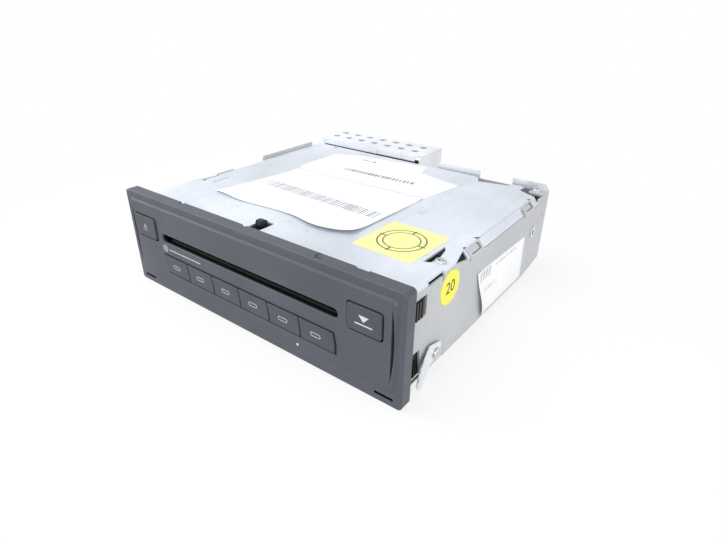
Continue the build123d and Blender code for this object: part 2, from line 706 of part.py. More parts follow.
    # Ear at the left, corner ear at the right back, and the screw tab at the right front.
    with BuildSketch(side(-CASE_HALF)):
        polygon([
            (LEFT_EAR_FRONT, WALL_LOW_TOP - SHEET),
            (LEFT_EAR_BACK, WALL_LOW_TOP - SHEET),
            (LEFT_EAR_BACK, CASE_TOP + LEFT_EAR_H - 0.9),
            (LEFT_EAR_BACK - 4.0, CASE_TOP + LEFT_EAR_H - 0.9),
            (LEFT_EAR_FRONT + 2.0, CASE_TOP + LEFT_EAR_H - 0.9),
        ])
    extrude(amount=SHEET)
    with BuildSketch(level(LID_FOOT)):
        polygon([
            (CASE_HALF, CASE_BACK - EAR_LONG),
            (CASE_HALF, CASE_BACK),
            (CASE_HALF - EAR_LONG + 3.4, CASE_BACK),
            (CASE_HALF - EAR_LONG + 1.0, CASE_BACK - EAR_LONG + 3.0),
            (CASE_HALF - EAR_LONG + 2.4, CASE_BACK - EAR_LONG),
        ])
        with Locations((SCREW_SPOT_X, REAR_SCREW_DEPTH)):
            Circle(SCREW_R + FIT, mode=Mode.SUBTRACT)
    extrude(amount=SHEET)
    with BuildSketch(level(LID_FOOT - SHEET)):
        with Locations(((SCREW_SPOT_X - 4.0 + CASE_INNER) / 2, FRONT_SCREW_DEPTH)):
            Rectangle(CASE_INNER - SCREW_SPOT_X + 4.0, 8.0)
        with Locations((SCREW_SPOT_X, FRONT_SCREW_DEPTH)):
            Circle(SCREW_R + FIT, mode=Mode.SUBTRACT)
    extrude(amount=SHEET)
save(chassis, "chassis")

with BuildPart() as spring_rivets:
    with BuildSketch(side(CASE_HALF + BOSS_H)):
        with Locations((RIVET_DEPTH, RIVET_Z)):
            Circle(RIVET_R)
    extrude(amount=SPRING_T + 2 * GAP)
    with BuildSketch(side(SPRING_X + SPRING_T + GAP)):
        with Locations((RIVET_DEPTH, RIVET_Z)):
            Circle(RIVET_HEAD_R)
    extrude(amount=0.8)
    fillet(spring_rivets.edges().group_by(Axis.X)[-1], 0.4)
    mirror(about=Plane.YZ)
save(spring_rivets, "spring_rivets")

# ---- Locking springs -------------------------------------------------------------------------
for name, hand in (("locking_spring_right", 1), ("locking_spring_left", -1)):
    with BuildPart() as locking_spring:
        # The strip seen from above, pad flat and arm flaring outward, cut to its side outline.
        with BuildSketch(level(0)):
            polygon([
                (hand * SPRING_X, RIVET_DEPTH + SPRING_PAD - 1.2),
                (hand * SPRING_X, SPRING_BEND),
                (hand * (SPRING_X + SPRING_FLARE), SPRING_TIP),
                (hand * (SPRING_X + SPRING_FLARE + SPRING_T), SPRING_TIP),
                (hand * (SPRING_X + SPRING_T), SPRING_BEND - 0.2),
                (hand * (SPRING_X + SPRING_T), RIVET_DEPTH + SPRING_PAD - 1.2),
            ])
            for ridge in range(4):
                spot = SPRING_TIP + 1.0 + 1.5 * ridge
                share = (SPRING_BEND - 0.2 - spot) / (SPRING_BEND - 0.2 - SPRING_TIP)
                with Locations((hand * (SPRING_X + SPRING_T + SPRING_FLARE * share), spot)):
                    Circle(0.35)
        extrude(amount=RIVET_Z + SPRING_PAD)
        with BuildSketch(side(hand * CASE_W)):
            polygon([
                (RIVET_DEPTH + 4.4, RIVET_Z - 1.3),
                (RIVET_DEPTH + 3.8, RIVET_Z + 4.6),
                (RIVET_DEPTH - 6.2, RIVET_Z + 7.4),
                (SPRING_TIP + 2.6, RIVET_Z + 0.4),
                (SPRING_TIP, RIVET_Z - 6.6),
                (SPRING_TIP + 2.2, RIVET_Z - 9.8),
                (SPRING_TIP + 7.0, RIVET_Z - 8.9),
                (RIVET_DEPTH - 5.6, RIVET_Z - 3.8),
            ])
            with Locations((RIVET_DEPTH, RIVET_Z)):
                Circle(RIVET_R + 2 * GAP, mode=Mode.SUBTRACT)
        extrude(amount=-hand * 2 * CASE_W, mode=Mode.INTERSECT)
    save(locking_spring, name)

# ---- Top cover -------------------------------------------------------------------------------
LID_FRONT = CASE_FRONT
LID_BACK = CASE_BACK - 2.2
with BuildPart() as top_cover:
    with BuildSketch(level(LID_FOOT)):
        polygon([
            (-CASE_HALF, LID_FRONT),
            (CASE_HALF, LID_FRONT),
            (CASE_HALF, LAND_BACK),
            (LID_X, SHOULDER_FRONT - GAP),
            (LID_X, SHOULDER_BACK),
            (CASE_HALF - EAR_LONG - 3.6, SHOULDER_BACK + 5.6),
            (CASE_HALF - EAR_LONG - 3.6, LID_BACK),
            (TAIL_NOTCH_RIGHT, LID_BACK),
            (TAIL_NOTCH_RIGHT, LID_BACK - TAIL_NOTCH_DEEP / 2),
            (TAIL_NOTCH_LEFT + 4.0, LID_BACK - TAIL_NOTCH_DEEP),
            (TAIL_NOTCH_LEFT, LID_BACK),
            (-CASE_INNER + GAP, LID_BACK),
            (-CASE_INNER + GAP, LEFT_EAR_FRONT - GAP),
            (-LID_X, LEFT_EAR_FRONT - GAP),
            (-LID_X, SHOULDER_FRONT - GAP),
            (-CASE_HALF, LAND_BACK),
        ])
    extrude(amount=SHEET)
    # Bevelled shoulders.
    with BuildSketch(front(SHOULDER_FRONT)):
        shoulder_tab(0, -SHEET)
        polygon([(LID_X, CASE_TOP), (LID_X, LID_FOOT), (LID_X - 1.0, LID_FOOT), (LID_X - 1.0, CASE_TOP)])
        with Locations((CASE_HALF - 5.0, WALL_LOW_TOP - 5.0)):
            Rectangle(20.0, 10.0, mode=Mode.SUBTRACT)
    shoulder = extrude(amount=SHOULDER_FRONT - SHOULDER_BACK)
    with BuildSketch(front(SHOULDER_FRONT)):
        shoulder_tab(0, -SHEET)
        with Locations((CASE_HALF - 5.0, WALL_LOW_TOP - 5.0)):
            Rectangle(20.0, 10.0, mode=Mode.SUBTRACT)
    left_shoulder = extrude(amount=SHOULDER_FRONT - LEFT_EAR_FRONT + GAP, mode=Mode.PRIVATE)
    mirror(left_shoulder, about=Plane.YZ)
    # Slits that the folded tabs of the side wall pass through.
    with BuildSketch(level(WALL_LOW_TOP)):
        for depth in (TAB_FRONT + TAB_LONG + 0.9, TAB_BACK - 0.9, TAB_BACK + TAB_LONG + 0.9):
            with Locations(((LID_X + CASE_HALF) / 2 + 0.5, depth)):
                Rectangle(SHOULDER_RUN - 0.6, 1.4)
    extrude(amount=SHOULDER_DROP, mode=Mode.SUBTRACT)
    # Window of the top hook, tool window beside the front screw, and screw hole.
    with BuildSketch(level(LID_FOOT)):
        with Locations((TOP_HOOK_X, 19.9)):
            Rectangle(TOP_HOOK_W + 1.0, 10.2)
        polygon([
            (LID_X - 8.4, FRONT_SCREW_DEPTH - 4.3),
            (LID_X - 8.1, FRONT_SCREW_DEPTH + 14.9),
            (LID_X - 6.0, FRONT_SCREW_DEPTH + 12.0),
            (LID_X - 4.3, FRONT_SCREW_DEPTH + 3.4),
            (LID_X - 4.3, FRONT_SCREW_DEPTH - 2.1),
        ])
        with Locations((SCREW_SPOT_X, FRONT_SCREW_DEPTH)):
            Circle(SCREW_R + 2 * FIT)
        with Locations((-70.0, LID_BACK - 2.4)):
            SlotOverall(5.0, 1.4)
        with Locations((-LID_X + 1.4, 52.0)):
            Rectangle(2.0, 13.0)
        with Locations((CASE_HALF - 0.6, 27.5)):
            Rectangle(1.2, 13.0)
    extrude(amount=SHEET, mode=Mode.SUBTRACT)
    # Pressed tongue beside the left slot.
    with BuildSketch(level(CASE_TOP)):
        with Locations((-LID_X + 6.1, 53.0)):
            RectangleRounded(6.4, 12.6, 0.8)
    extrude(amount=0.6)
save(top_cover, "top_cover")

with BuildPart() as cover_screws:
    for depth, seat in ((FRONT_SCREW_DEPTH, CASE_TOP), (REAR_SCREW_DEPTH, CASE_TOP)):
        with BuildSketch(level(seat)):
            with Locations((SCREW_SPOT_X, depth)):
                Circle(SCREW_HEAD_R)
        extrude(amount=SCREW_HEAD_H)
        with BuildSketch(level(seat)):
            with Locations((SCREW_SPOT_X, depth)):
                Circle(SCREW_R)
        extrude(amount=-SCREW_LONG)
    fillet(cover_screws.edges().group_by(Axis.Z)[-1], SCREW_HEAD_H / 3)
    with BuildSketch(level(CASE_TOP + SCREW_HEAD_H)):
        for depth in (FRONT_SCREW_DEPTH, REAR_SCREW_DEPTH):
            with Locations((SCREW_SPOT_X, depth)):
                Rectangle(3.4, 0.8)
                Rectangle(0.8, 3.4)
    extrude(amount=-SCREW_HEAD_H / 2, mode=Mode.SUBTRACT)
save(cover_screws, "cover_screws")

# ---- Rear panel and connector hood -----------------------------------------------------------
with BuildPart() as rear_panel:
    with BuildSketch(front(CASE_BACK)):
        polygon([
            (-CASE_HALF, CASE_FOOT + RAMP_RISE),
            (CASE_HALF, CASE_FOOT + RAMP_RISE),
            (CASE_HALF, CASE_TOP),
            (CASE_HALF - 2.4, CASE_TOP + TAIL_EDGE_H),
            (TAIL_NOTCH_RIGHT, CASE_TOP + TAIL_EDGE_H),
            (TAIL_NOTCH_RIGHT, CASE_TOP - 1.4),
            (TAIL_NOTCH_LEFT, CASE_TOP - 1.4),
            (TAIL_NOTCH_LEFT, CASE_TOP + TAIL_EDGE_H),
            (TAIL_EDGE_LEFT, CASE_TOP + TAIL_EDGE_H),
            (TAIL_EDGE_LEFT, CASE_TOP - 1.4),
            (-CASE_HALF, CASE_TOP - 1.4),
        ])
        with Locations((PLUG_X, PLUG_Z)):
            Rectangle(PLUG_W - 6.0, PLUG_H - 4.0, mode=Mode.SUBTRACT)
        with Locations((45.0, 28.0)):
            with GridLocations(12.0, 7.0, 5, 3):
                SlotOverall(8.0, 2.6, mode=Mode.SUBTRACT)
    extrude(amount=-SHEET)
    # Tab under the corner ear, where the rear screw bites.
    with BuildSketch(level(LID_FOOT - SHEET)):
        with Locations((SCREW_SPOT_X, CASE_BACK - 4.4)):
            Rectangle(7.0, 8.8)
        with Locations((SCREW_SPOT_X, REAR_SCREW_DEPTH)):
            Circle(SCREW_R + FIT, mode=Mode.SUBTRACT)
    extrude(amount=SHEET)
save(rear_panel, "rear_panel")

with BuildPart() as connector_hood:
    hood_w = HOOD_RIGHT - HOOD_LEFT
    hood_x = (HOOD_RIGHT + HOOD_LEFT) / 2
    with BuildSketch(level(HOOD_FOOT)):
        with Locations((hood_x, (TAIL_BACK + HOOD_BACK) / 2)):
            Rectangle(hood_w, HOOD_BACK - TAIL_BACK)
            Rectangle(hood_w - 2 * SHEET, HOOD_BACK - TAIL_BACK, mode=Mode.SUBTRACT)
        with Locations((hood_x, HOOD_BACK - SHEET / 2)):
            Rectangle(hood_w, SHEET)
    extrude(amount=HOOD_TOP - HOOD_FOOT)
    with BuildSketch(level(HOOD_TOP - SHEET)):
        polygon([
            (HOOD_LEFT, TAIL_BACK - HOOD_LAP),
            (HOOD_RIGHT - 4.0, TAIL_BACK - HOOD_LAP),
            (HOOD_RIGHT, TAIL_BACK + 4.0),
            (HOOD_RIGHT, HOOD_BACK),
            (HOOD_LEFT, HOOD_BACK),
        ])
    extrude(amount=SHEET)
    # Closed foot, and a lip folded down over the back edge of the lid.
    with BuildSketch(level(HOOD_FOOT)):
        with Locations((hood_x, (TAIL_BACK + HOOD_BACK) / 2)):
            Rectangle(hood_w, HOOD_BACK - TAIL_BACK)
    extrude(amount=SHEET)
    with BuildSketch(front(TAIL_BACK - HOOD_LAP)):
        with Locations(((HOOD_LEFT + HOOD_LIP_RIGHT) / 2, (CASE_TOP + 0.4 + HOOD_TOP) / 2)):
            Rectangle(HOOD_LIP_RIGHT - HOOD_LEFT, HOOD_TOP - CASE_TOP - 0.4)
    extrude(amount=-SHEET)
    with BuildSketch(level(HOOD_TOP - SHEET)):
        with Locations((hood_x - 3.0, HOOD_BACK - 8.0 - VENT_PITCH_Y / 2)):
            with GridLocations(VENT_PITCH_X, VENT_PITCH_Y, VENT_COLUMNS, 2):
                SlotOverall(VENT_W, VENT_H)
    extrude(amount=SHEET, mode=Mode.SUBTRACT)
    # Window for the plug in the back wall, and its open foot corner towards the right.
    with BuildSketch(front(HOOD_BACK)):
        with Locations((PLUG_X, PLUG_Z)):
            Rectangle(PLUG_W + 4.0, PLUG_H + 4.0)
    extrude(amount=2 * SHEET, mode=Mode.SUBTRACT)
save(connector_hood, "connector_hood")

with BuildPart() as main_connector:
    with BuildSketch(front(TAIL_BACK)):
        with Locations((PLUG_X, PLUG_Z)):
            Rectangle(PLUG_W, PLUG_H)
    extrude(amount=-PLUG_LONG)
    with BuildSketch(front(TAIL_BACK + PLUG_LONG)):
        with Locations((PLUG_X, PLUG_Z)):
            Rectangle(PLUG_W - 2 * PLUG_WALL, PLUG_H - 2 * PLUG_WALL)
    extrude(amount=PLUG_CAVITY, mode=Mode.SUBTRACT)
    with BuildSketch(front(TAIL_BACK)):
        with Locations((PLUG_X, PLUG_Z)):
            Rectangle(PLUG_W - 7.0, PLUG_H - 5.0)
    extrude(amount=SHEET)
    with BuildSketch(front(TAIL_BACK + PLUG_LONG - 1.0)):
        with Locations((PLUG_X, PLUG_Z - PLUG_H / 2 + PLUG_WALL + 0.9)):
            with GridLocations(4.0, 1.0, PIN_COUNT, 1):
                Rectangle(1.0, 0.8)
    extrude(amount=PLUG_CAVITY - 1.0)
save(main_connector, "main_connector")

# ---- Main board ------------------------------------------------------------------------------
with BuildPart() as main_board:
    with BuildSketch(level(BOARD_Z)):
        with Locations((0, 85.0)):
            Rectangle(BOARD_W, BOARD_LONG)
    extrude(amount=BOARD_T)
    with BuildSketch(level(BOARD_Z + BOARD_T)):
        with Locations((-30.0, 70.0), (22.0, 98.0)):
            Rectangle(20.0, 20.0)
        with Locations((-20.0, 115.0), (40.0, 65.0)):
            Rectangle(12.0, 8.0)
    extrude(amount=1.1)
save(main_board, "main_board")

# ---- Mechanism deck --------------------------------------------------------------------------
DECK_BACK = CASE_BACK - 3.0
DAMPER_X = DECK_W / 2 - 5.8
DAMPERS = [(-DAMPER_X, 22.0), (DAMPER_X, 22.0), (-DAMPER_X, 126.0), (DAMPER_X, 126.0)]
POST_ANGLES = (POST_FRONT_ANGLE, POST_RIGHT_ANGLE, POST_LEFT_ANGLE)
POSTS = [ring_spot(angle, POST_RING) for angle in POST_ANGLES]
LIFT_SPOT = ring_spot(LIFT_ANGLE, POST_RING)
RING_INNER = RING_R - RING_WIDTH
RING_PEGS = [ring_spot(45.0 + 90.0 * i, RING_INNER - GAP - 2.5) for i in range(4)]
with BuildPart() as mechanism_deck:
    with BuildSketch(level(DECK_Z)):
        with Locations((0, (DECK_FRONT + DECK_BACK) / 2)):
            RectangleRounded(DECK_W, DECK_BACK - DECK_FRONT, 4.0)
        with Locations((0, DISC_DEPTH)):
            Circle(DECK_HOLE_R, mode=Mode.SUBTRACT)
        with Locations(*POSTS):
            Circle(POST_R + FIT, mode=Mode.SUBTRACT)
        with Locations(LIFT_SPOT):
            Circle(SCREW_R + FIT, mode=Mode.SUBTRACT)
    extrude(amount=DECK_T)
    # Headed pegs that carry the ring gear from inside.
    with BuildSketch(level(GEAR_Z - GAP - 0.4)):
        with Locations(*RING_PEGS):
            Circle(4.3)
    extrude(amount=0.4)
    with BuildSketch(level(GEAR_Z - GAP)):
        with Locations(*RING_PEGS):
            Circle(2.5)
    extrude(amount=DECK_Z - GEAR_Z + GAP)
    # Staked rod that steadies the trays, and the swing pillar with its pin.
    with BuildSketch(level(DECK_TOP)):
        with Locations((RAIL_X, RAIL_DEPTH)):
            Circle(RAIL_R)
    extrude(amount=POST_HIGH - DECK_TOP)
    with BuildSketch(level(DECK_TOP)):
        with Locations((SWING_X, SWING_DEPTH)):
            Circle(SWING_HUB_R)
    extrude(amount=ARM_Z - GAP - DECK_TOP)
    with BuildSketch(level(DECK_TOP)):
        with Locations((SWING_X, SWING_DEPTH)):
            Circle(SWING_PIN_R)
    extrude(amount=CLAMP_ARM_Z + 3.0 - DECK_TOP)
    # Cheeks that carry the roller lever on two short pins.
    for hand in (-1, 1):
        with BuildSketch(side(hand * (CHEEK_X + LEVER_T / 2) - LEVER_T / 2)):
            with Locations((LEVER_DEPTH, LEVER_Z)):
                Circle(2.8)
            with Locations((LEVER_DEPTH, (LEVER_Z + DECK_Z) / 2)):
                Rectangle(5.0, LEVER_Z - DECK_Z)
        extrude(amount=LEVER_T)
        with BuildSketch(side(hand * (LEVER_X - GAP))):
            with Locations((LEVER_DEPTH, LEVER_Z)):
                Circle(ROLLER_SHAFT_R)
        extrude(amount=hand * (PULLEY_X + 3.0 - LEVER_X if hand > 0 else CHEEK_X + LEVER_T - LEVER_X))
    # Saddle under the loading motor.
    with BuildSketch(level(DECK_TOP)):
        with Locations((50.0, LOAD_MOTOR_DEPTH)):
            Rectangle(LOAD_MOTOR_LONG - 4.0, 6.0)
    extrude(amount=GAP)
save(mechanism_deck, "mechanism_deck")

with BuildPart() as rubber_dampers:
    with BuildSketch(level(FLOOR_Z)):
        with Locations(*DAMPERS):
            Circle(DAMPER_R)
    extrude(amount=DECK_Z - FLOOR_Z)
    with BuildSketch(level(FLOOR_Z + 3.2)):
        with Locations(*DAMPERS):
            Circle(DAMPER_R)
            Circle(DAMPER_R - 1.1, mode=Mode.SUBTRACT)
    extrude(amount=2.0, mode=Mode.SUBTRACT)
save(rubber_dampers, "rubber_dampers")

# ---- Disc trays, lifting posts and ring gear -------------------------------------------------
for i in range(DISC_COUNT):
    lower = i < DISC_COUNT // 2
    height = LOWER_STACK_Z + i * TRAY_PITCH if lower else UPPER_STACK_Z + (i - DISC_COUNT // 2) * TRAY_PITCH
    with BuildPart() as tray:
        with BuildSketch(level(height)):
            with Locations((0, DISC_DEPTH)):
                Circle(TRAY_R)
            for angle in POST_ANGLES:
                middle = ring_spot(angle, (TRAY_R + POST_RING) / 2)
                with Locations(Location((*middle, 0), (0, 0, angle))):
                    Rectangle(POST_RING - TRAY_R + 6.0, 2 * LUG_R)
                with Locations(ring_spot(angle, POST_RING)):
                    Circle(LUG_R)
            rail_angle = degrees(atan2(RAIL_DEPTH - DISC_DEPTH, RAIL_X))
            rail_reach = sqrt(RAIL_X**2 + (RAIL_DEPTH - DISC_DEPTH) ** 2)
            with Locations(Location((*ring_spot(rail_angle, (TRAY_BORE_R + rail_reach) / 2), 0), (0, 0, rail_angle))):
                Rectangle(rail_reach - TRAY_BORE_R, 7.0)
            with Locations((RAIL_X, RAIL_DEPTH)):
                Circle(3.5)
            with Locations((0, DISC_DEPTH)):
                Circle(TRAY_BORE_R, mode=Mode.SUBTRACT)
            # The open side, where the swinging unit comes in to the disc centre.
            polygon_points = [(0.0, DISC_DEPTH)]
            polygon_points += [ring_spot(angle, 1.6 * TRAY_R) for angle in (132.0, 167.0, 202.0)]
            with BuildLine():
                Polyline(*polygon_points, close=True)
            make_face(mode=Mode.SUBTRACT)
            with Locations(*POSTS):
                Circle(POST_R + 2 * FIT, mode=Mode.SUBTRACT)
            with Locations((RAIL_X, RAIL_DEPTH)):
                Circle(RAIL_R + 2 * FIT, mode=Mode.SUBTRACT)
        extrude(amount=TRAY_T)
    save(tray, f"disc_tray_{i + 1}")

with BuildPart() as ring_gear:
    with BuildSketch(level(GEAR_Z)):
        with Locations((0, DISC_DEPTH)):
            gear_outline(RING_TEETH, GEAR_MODULE, 0)
            Circle(RING_INNER, mode=Mode.SUBTRACT)
    extrude(amount=GEAR_T)
save(ring_gear, "ring_gear")

for i, angle in enumerate(POST_ANGLES):
    with BuildPart() as lift_post:
        with BuildSketch(level(GEAR_Z)):
            with Locations(ring_spot(angle, POST_RING)):
                gear_outline(POST_TEETH, GEAR_MODULE, meshed_turn(angle, POST_TEETH, RING_TEETH))
        extrude(amount=GEAR_T)
        with BuildSketch(level(GEAR_Z)):
            with Locations(ring_spot(angle, POST_RING)):
                Circle(POST_R)
        extrude(amount=POST_HIGH - GEAR_Z)
        chamfer(lift_post.edges().group_by(Axis.Z)[-1], 0.6)
    save(lift_post, f"lift_post_{i + 1}")

with BuildPart() as lift_pinion:
    with BuildSketch(level(GEAR_Z)):
        with Locations(LIFT_SPOT):
            gear_outline(POST_TEETH, GEAR_MODULE, meshed_turn(LIFT_ANGLE, POST_TEETH, RING_TEETH))
    extrude(amount=GEAR_T)
    with BuildSketch(level(GEAR_Z)):
        with Locations(LIFT_SPOT):
            Circle(SCREW_R)
    extrude(amount=DECK_TOP + GAP - GEAR_Z)
save(lift_pinion, "lift_pinion")

with BuildPart() as lift_motor:
    with BuildSketch(level(DECK_TOP)):
        with Locations(LIFT_SPOT):
            Circle(LIFT_MOTOR_R)
            Circle(SCREW_R + 1.6, mode=Mode.SUBTRACT)
    extrude(amount=2 * GAP)
    with BuildSketch(level(DECK_TOP + 2 * GAP)):
        with Locations(LIFT_SPOT):
            Circle(LIFT_MOTOR_R)
    extrude(amount=LIFT_MOTOR_H - 2 * GAP)
    fillet(lift_motor.edges().group_by(Axis.Z)[-1], 1.2)
save(lift_motor, "lift_motor")


# ---- Swinging playback unit, built where it is parked ----------------------------------------
def along(reach):
    """Depth of a point on the arm, so far from the spindle towards the pivot."""
    return SPINDLE_DEPTH + reach


FEED_WALL = SLED_START + SLED_TRAVEL + SLED_LONG / 2 + 1.5
with BuildPart() as swing_arm:
    with BuildSketch(level(ARM_Z)):
        with Locations((SWING_X, SPINDLE_DEPTH)):
            Circle(ARM_W / 2)
        with Locations((SWING_X, (SPINDLE_DEPTH + SWING_DEPTH) / 2)):
            Rectangle(ARM_W, SWING_REACH)
        with Locations((SWING_X, SWING_DEPTH)):
            Circle(SWING_HUB_R + 2.0)
            Circle(SWING_PIN_R + FIT, mode=Mode.SUBTRACT)
        with Locations((SWING_X, along(SLED_START + SLED_TRAVEL / 2))):
            Rectangle(ARM_W - 12.0, SLED_TRAVEL, mode=Mode.SUBTRACT)
    extrude(amount=ARM_T)
    # Hub tube on the pin, and the two cross walls that hold the rails.
    with BuildSketch(level(ARM_Z)):
        with Locations((SWING_X, SWING_DEPTH)):
            Circle(SWING_HUB_R)
            Circle(SWING_PIN_R + FIT, mode=Mode.SUBTRACT)
    extrude(amount=CLAMP_ARM_Z - 1.2 - ARM_Z)
    for reach in (SPINDLE_R + 1.6, FEED_WALL):
        with BuildSketch(front(along(reach))):
            with Locations((SWING_X, (ARM_TOP + OPTIC_Z + 2.8) / 2)):
                Rectangle(ARM_W - 1.0, OPTIC_Z + 2.8 - ARM_TOP)
            with Locations((SWING_X - RAIL_GAP, OPTIC_Z), (SWING_X + RAIL_GAP, OPTIC_Z)):
                Circle(OPTIC_RAIL_R, mode=Mode.SUBTRACT)
            with Locations((SWING_X + SCREW_OFFSET, OPTIC_Z)):
                Circle(FEED_SCREW_R + FIT, mode=Mode.SUBTRACT)
        extrude(amount=-ARM_T)
    # Lugs of the clamp arm's hinge, either side of it above the hub.
    for hand in (-1, 1):
        with BuildSketch(side(SWING_X + hand * 8.4 - 0.6)):
            with Locations((SWING_DEPTH - 14.0, CLAMP_ARM_Z + ARM_T / 2)):
                Circle(1.9)
            with Locations((SWING_DEPTH - 14.0, (ARM_Z + CLAMP_ARM_Z) / 2)):
                Rectangle(3.8, CLAMP_ARM_Z - ARM_Z)
        extrude(amount=1.2)
save(swing_arm, "swing_arm")

with BuildPart() as guide_rails:
    with BuildSketch(front(along(SPINDLE_R + 1.6))):
        with Locations((SWING_X - RAIL_GAP, OPTIC_Z), (SWING_X + RAIL_GAP, OPTIC_Z)):
            Circle(OPTIC_RAIL_R)
    extrude(amount=SPINDLE_R + 1.6 - FEED_WALL - ARM_T)
save(guide_rails, "guide_rails")

with BuildPart() as spindle_motor:
    with BuildSketch(level(ARM_TOP)):
        with Locations((SWING_X, SPINDLE_DEPTH)):
            Circle(SPINDLE_R)
    extrude(amount=6.0)
    fillet(spindle_motor.edges().group_by(Axis.Z)[-1], 0.8)
    with BuildSketch(level(ARM_TOP + 6.0)):
        with Locations((SWING_X, SPINDLE_DEPTH)):
            Circle(2.0)
    extrude(amount=1.6)
save(spindle_motor, "spindle_motor")

with BuildPart() as turntable:
    with BuildSketch(level(ARM_TOP + 6.0 + GAP)):
        with Locations((SWING_X, SPINDLE_DEPTH)):
            Circle(5.0)
            Circle(2.0 + FIT, mode=Mode.SUBTRACT)
    extrude(amount=1.4)
    with BuildSketch(level(ARM_TOP + 6.0 + GAP + 1.4)):
        with Locations((SWING_X, SPINDLE_DEPTH)):
            Circle(5.0)
    extrude(amount=TABLE_TOP - ARM_TOP - 7.7)
    with BuildSketch(level(TABLE_TOP - 1.4)):
        with Locations((SWING_X, SPINDLE_DEPTH)):
            Circle(TABLE_R)
    extrude(amount=1.4)
    with BuildSketch(level(TABLE_TOP)):
        with Locations((SWING_X, SPINDLE_DEPTH)):
            Circle(CONE_R)
    extrude(amount=1.8, taper=30)
save(turntable, "turntable")

with BuildPart() as clamp_arm:
    with BuildSketch(level(CLAMP_ARM_Z)):
        with Locations((SWING_X, SPINDLE_DEPTH)):
            Circle(8.0)
            Circle(2.0 + 2 * FIT, mode=Mode.SUBTRACT)
        with Locations((SWING_X, (SPINDLE_DEPTH + 6.0 + SWING_DEPTH - 12.0) / 2)):
            Rectangle(12.0, SWING_DEPTH - SPINDLE_DEPTH - 18.0)
    extrude(amount=ARM_T)
    # Pivot barrel of the clamp arm, with its ends in the two lugs' gap.
    with BuildSketch(side(SWING_X - 7.4)):
        with Locations((SWING_DEPTH - 14.0, CLAMP_ARM_Z + ARM_T / 2)):
            Circle(1.5)
    extrude(amount=14.8)
save(clamp_arm, "clamp_arm")

with BuildPart() as disc_clamp:
    with BuildSketch(level(TABLE_TOP + DISC_T + FIT)):
        with Locations((SWING_X, SPINDLE_DEPTH)):
            Circle(CLAMP_R)
            Circle(CONE_R + GAP, mode=Mode.SUBTRACT)
    extrude(amount=1.2)
    with BuildSketch(level(TABLE_TOP + DISC_T + FIT + 1.2)):
        with Locations((SWING_X, SPINDLE_DEPTH)):
            Circle(CLAMP_R)
    extrude(amount=CLAMP_ARM_Z - GAP - TABLE_TOP - DISC_T - FIT - 1.2)
    with BuildSketch(level(CLAMP_ARM_Z - GAP)):
        with Locations((SWING_X, SPINDLE_DEPTH)):
            Circle(2.0)
    extrude(amount=ARM_T + GAP)
save(disc_clamp, "disc_clamp")

with BuildPart() as pickup_sled:
    sled_foot = ARM_TOP + 0.6
    sled_top = OPTIC_Z + 3.4
    with BuildSketch(front(along(SLED_START - SLED_LONG / 2))):
        with Locations((SWING_X, (sled_foot + sled_top) / 2)):
            RectangleRounded(ARM_W - 0.6, sled_top - sled_foot, 1.0)
        with Locations((SWING_X - RAIL_GAP, OPTIC_Z), (SWING_X + RAIL_GAP, OPTIC_Z)):
            Circle(OPTIC_RAIL_R + FIT, mode=Mode.SUBTRACT)
        with Locations((SWING_X + SCREW_OFFSET, OPTIC_Z)):
            Circle(FEED_SCREW_R + 2 * FIT, mode=Mode.SUBTRACT)
    extrude(amount=-SLED_LONG)
    with BuildSketch(level(sled_top)):
        with Locations((SWING_X, along(SLED_START))):
            Circle(LENS_R + 1.2)
            Circle(LENS_R, mode=Mode.SUBTRACT)
    extrude(amount=0.8)
save(pickup_sled, "pickup_sled")

with BuildPart() as objective_lens:
    with BuildSketch(level(sled_top)):
        with Locations((SWING_X, along(SLED_START))):
            Circle(LENS_R)
    extrude(amount=1.0)
    fillet(objective_lens.edges().group_by(Axis.Z)[-1], 0.5)
save(objective_lens, "objective_lens")

with BuildPart() as feed_screw:
    with BuildSketch(front(along(SPINDLE_R + 1.6))):
        with Locations((SWING_X + SCREW_OFFSET, OPTIC_Z)):
            Circle(FEED_SCREW_R)
    extrude(amount=SPINDLE_R + 1.6 - FEED_WALL - ARM_T - GAP)
save(feed_screw, "feed_screw")

with BuildPart() as feed_motor:
    with BuildSketch(front(along(FEED_WALL + ARM_T + 2 * GAP))):
        with Locations((SWING_X + SCREW_OFFSET, OPTIC_Z)):
            Circle(FEED_MOTOR_R)
    extrude(amount=-FEED_MOTOR_LONG)
    fillet(feed_motor.edges().group_by(Axis.Y)[-1], 0.6)
save(feed_motor, "feed_motor")

# ---- Loading rollers and their drive ---------------------------------------------------------
SHAFT_LEFT = LEVER_X + LEVER_T + 0.6
SHAFT_RIGHT = DRIVE_GEAR_X + DRIVE_GEAR_T
with BuildPart() as roller_lever:
    for hand in (-1, 1):
        with BuildSketch(side(hand * (LEVER_X + LEVER_T / 2) - LEVER_T / 2)):
            with Locations((ROLLER_DEPTH, ROLLER_Z), (LEVER_DEPTH, LEVER_Z)):
                Circle(3.4)
            make_hull()
            with Locations((ROLLER_DEPTH, ROLLER_Z), (LEVER_DEPTH, LEVER_Z)):
                Circle(ROLLER_SHAFT_R + FIT, mode=Mode.SUBTRACT)
        extrude(amount=LEVER_T)
    with BuildSketch(side(-LEVER_X)):
        with Locations((LEVER_DEPTH - 1.2, LEVER_Z - 2.6)):
            Rectangle(3.4, 1.2)
    extrude(amount=2 * LEVER_X)
save(roller_lever, "roller_lever")

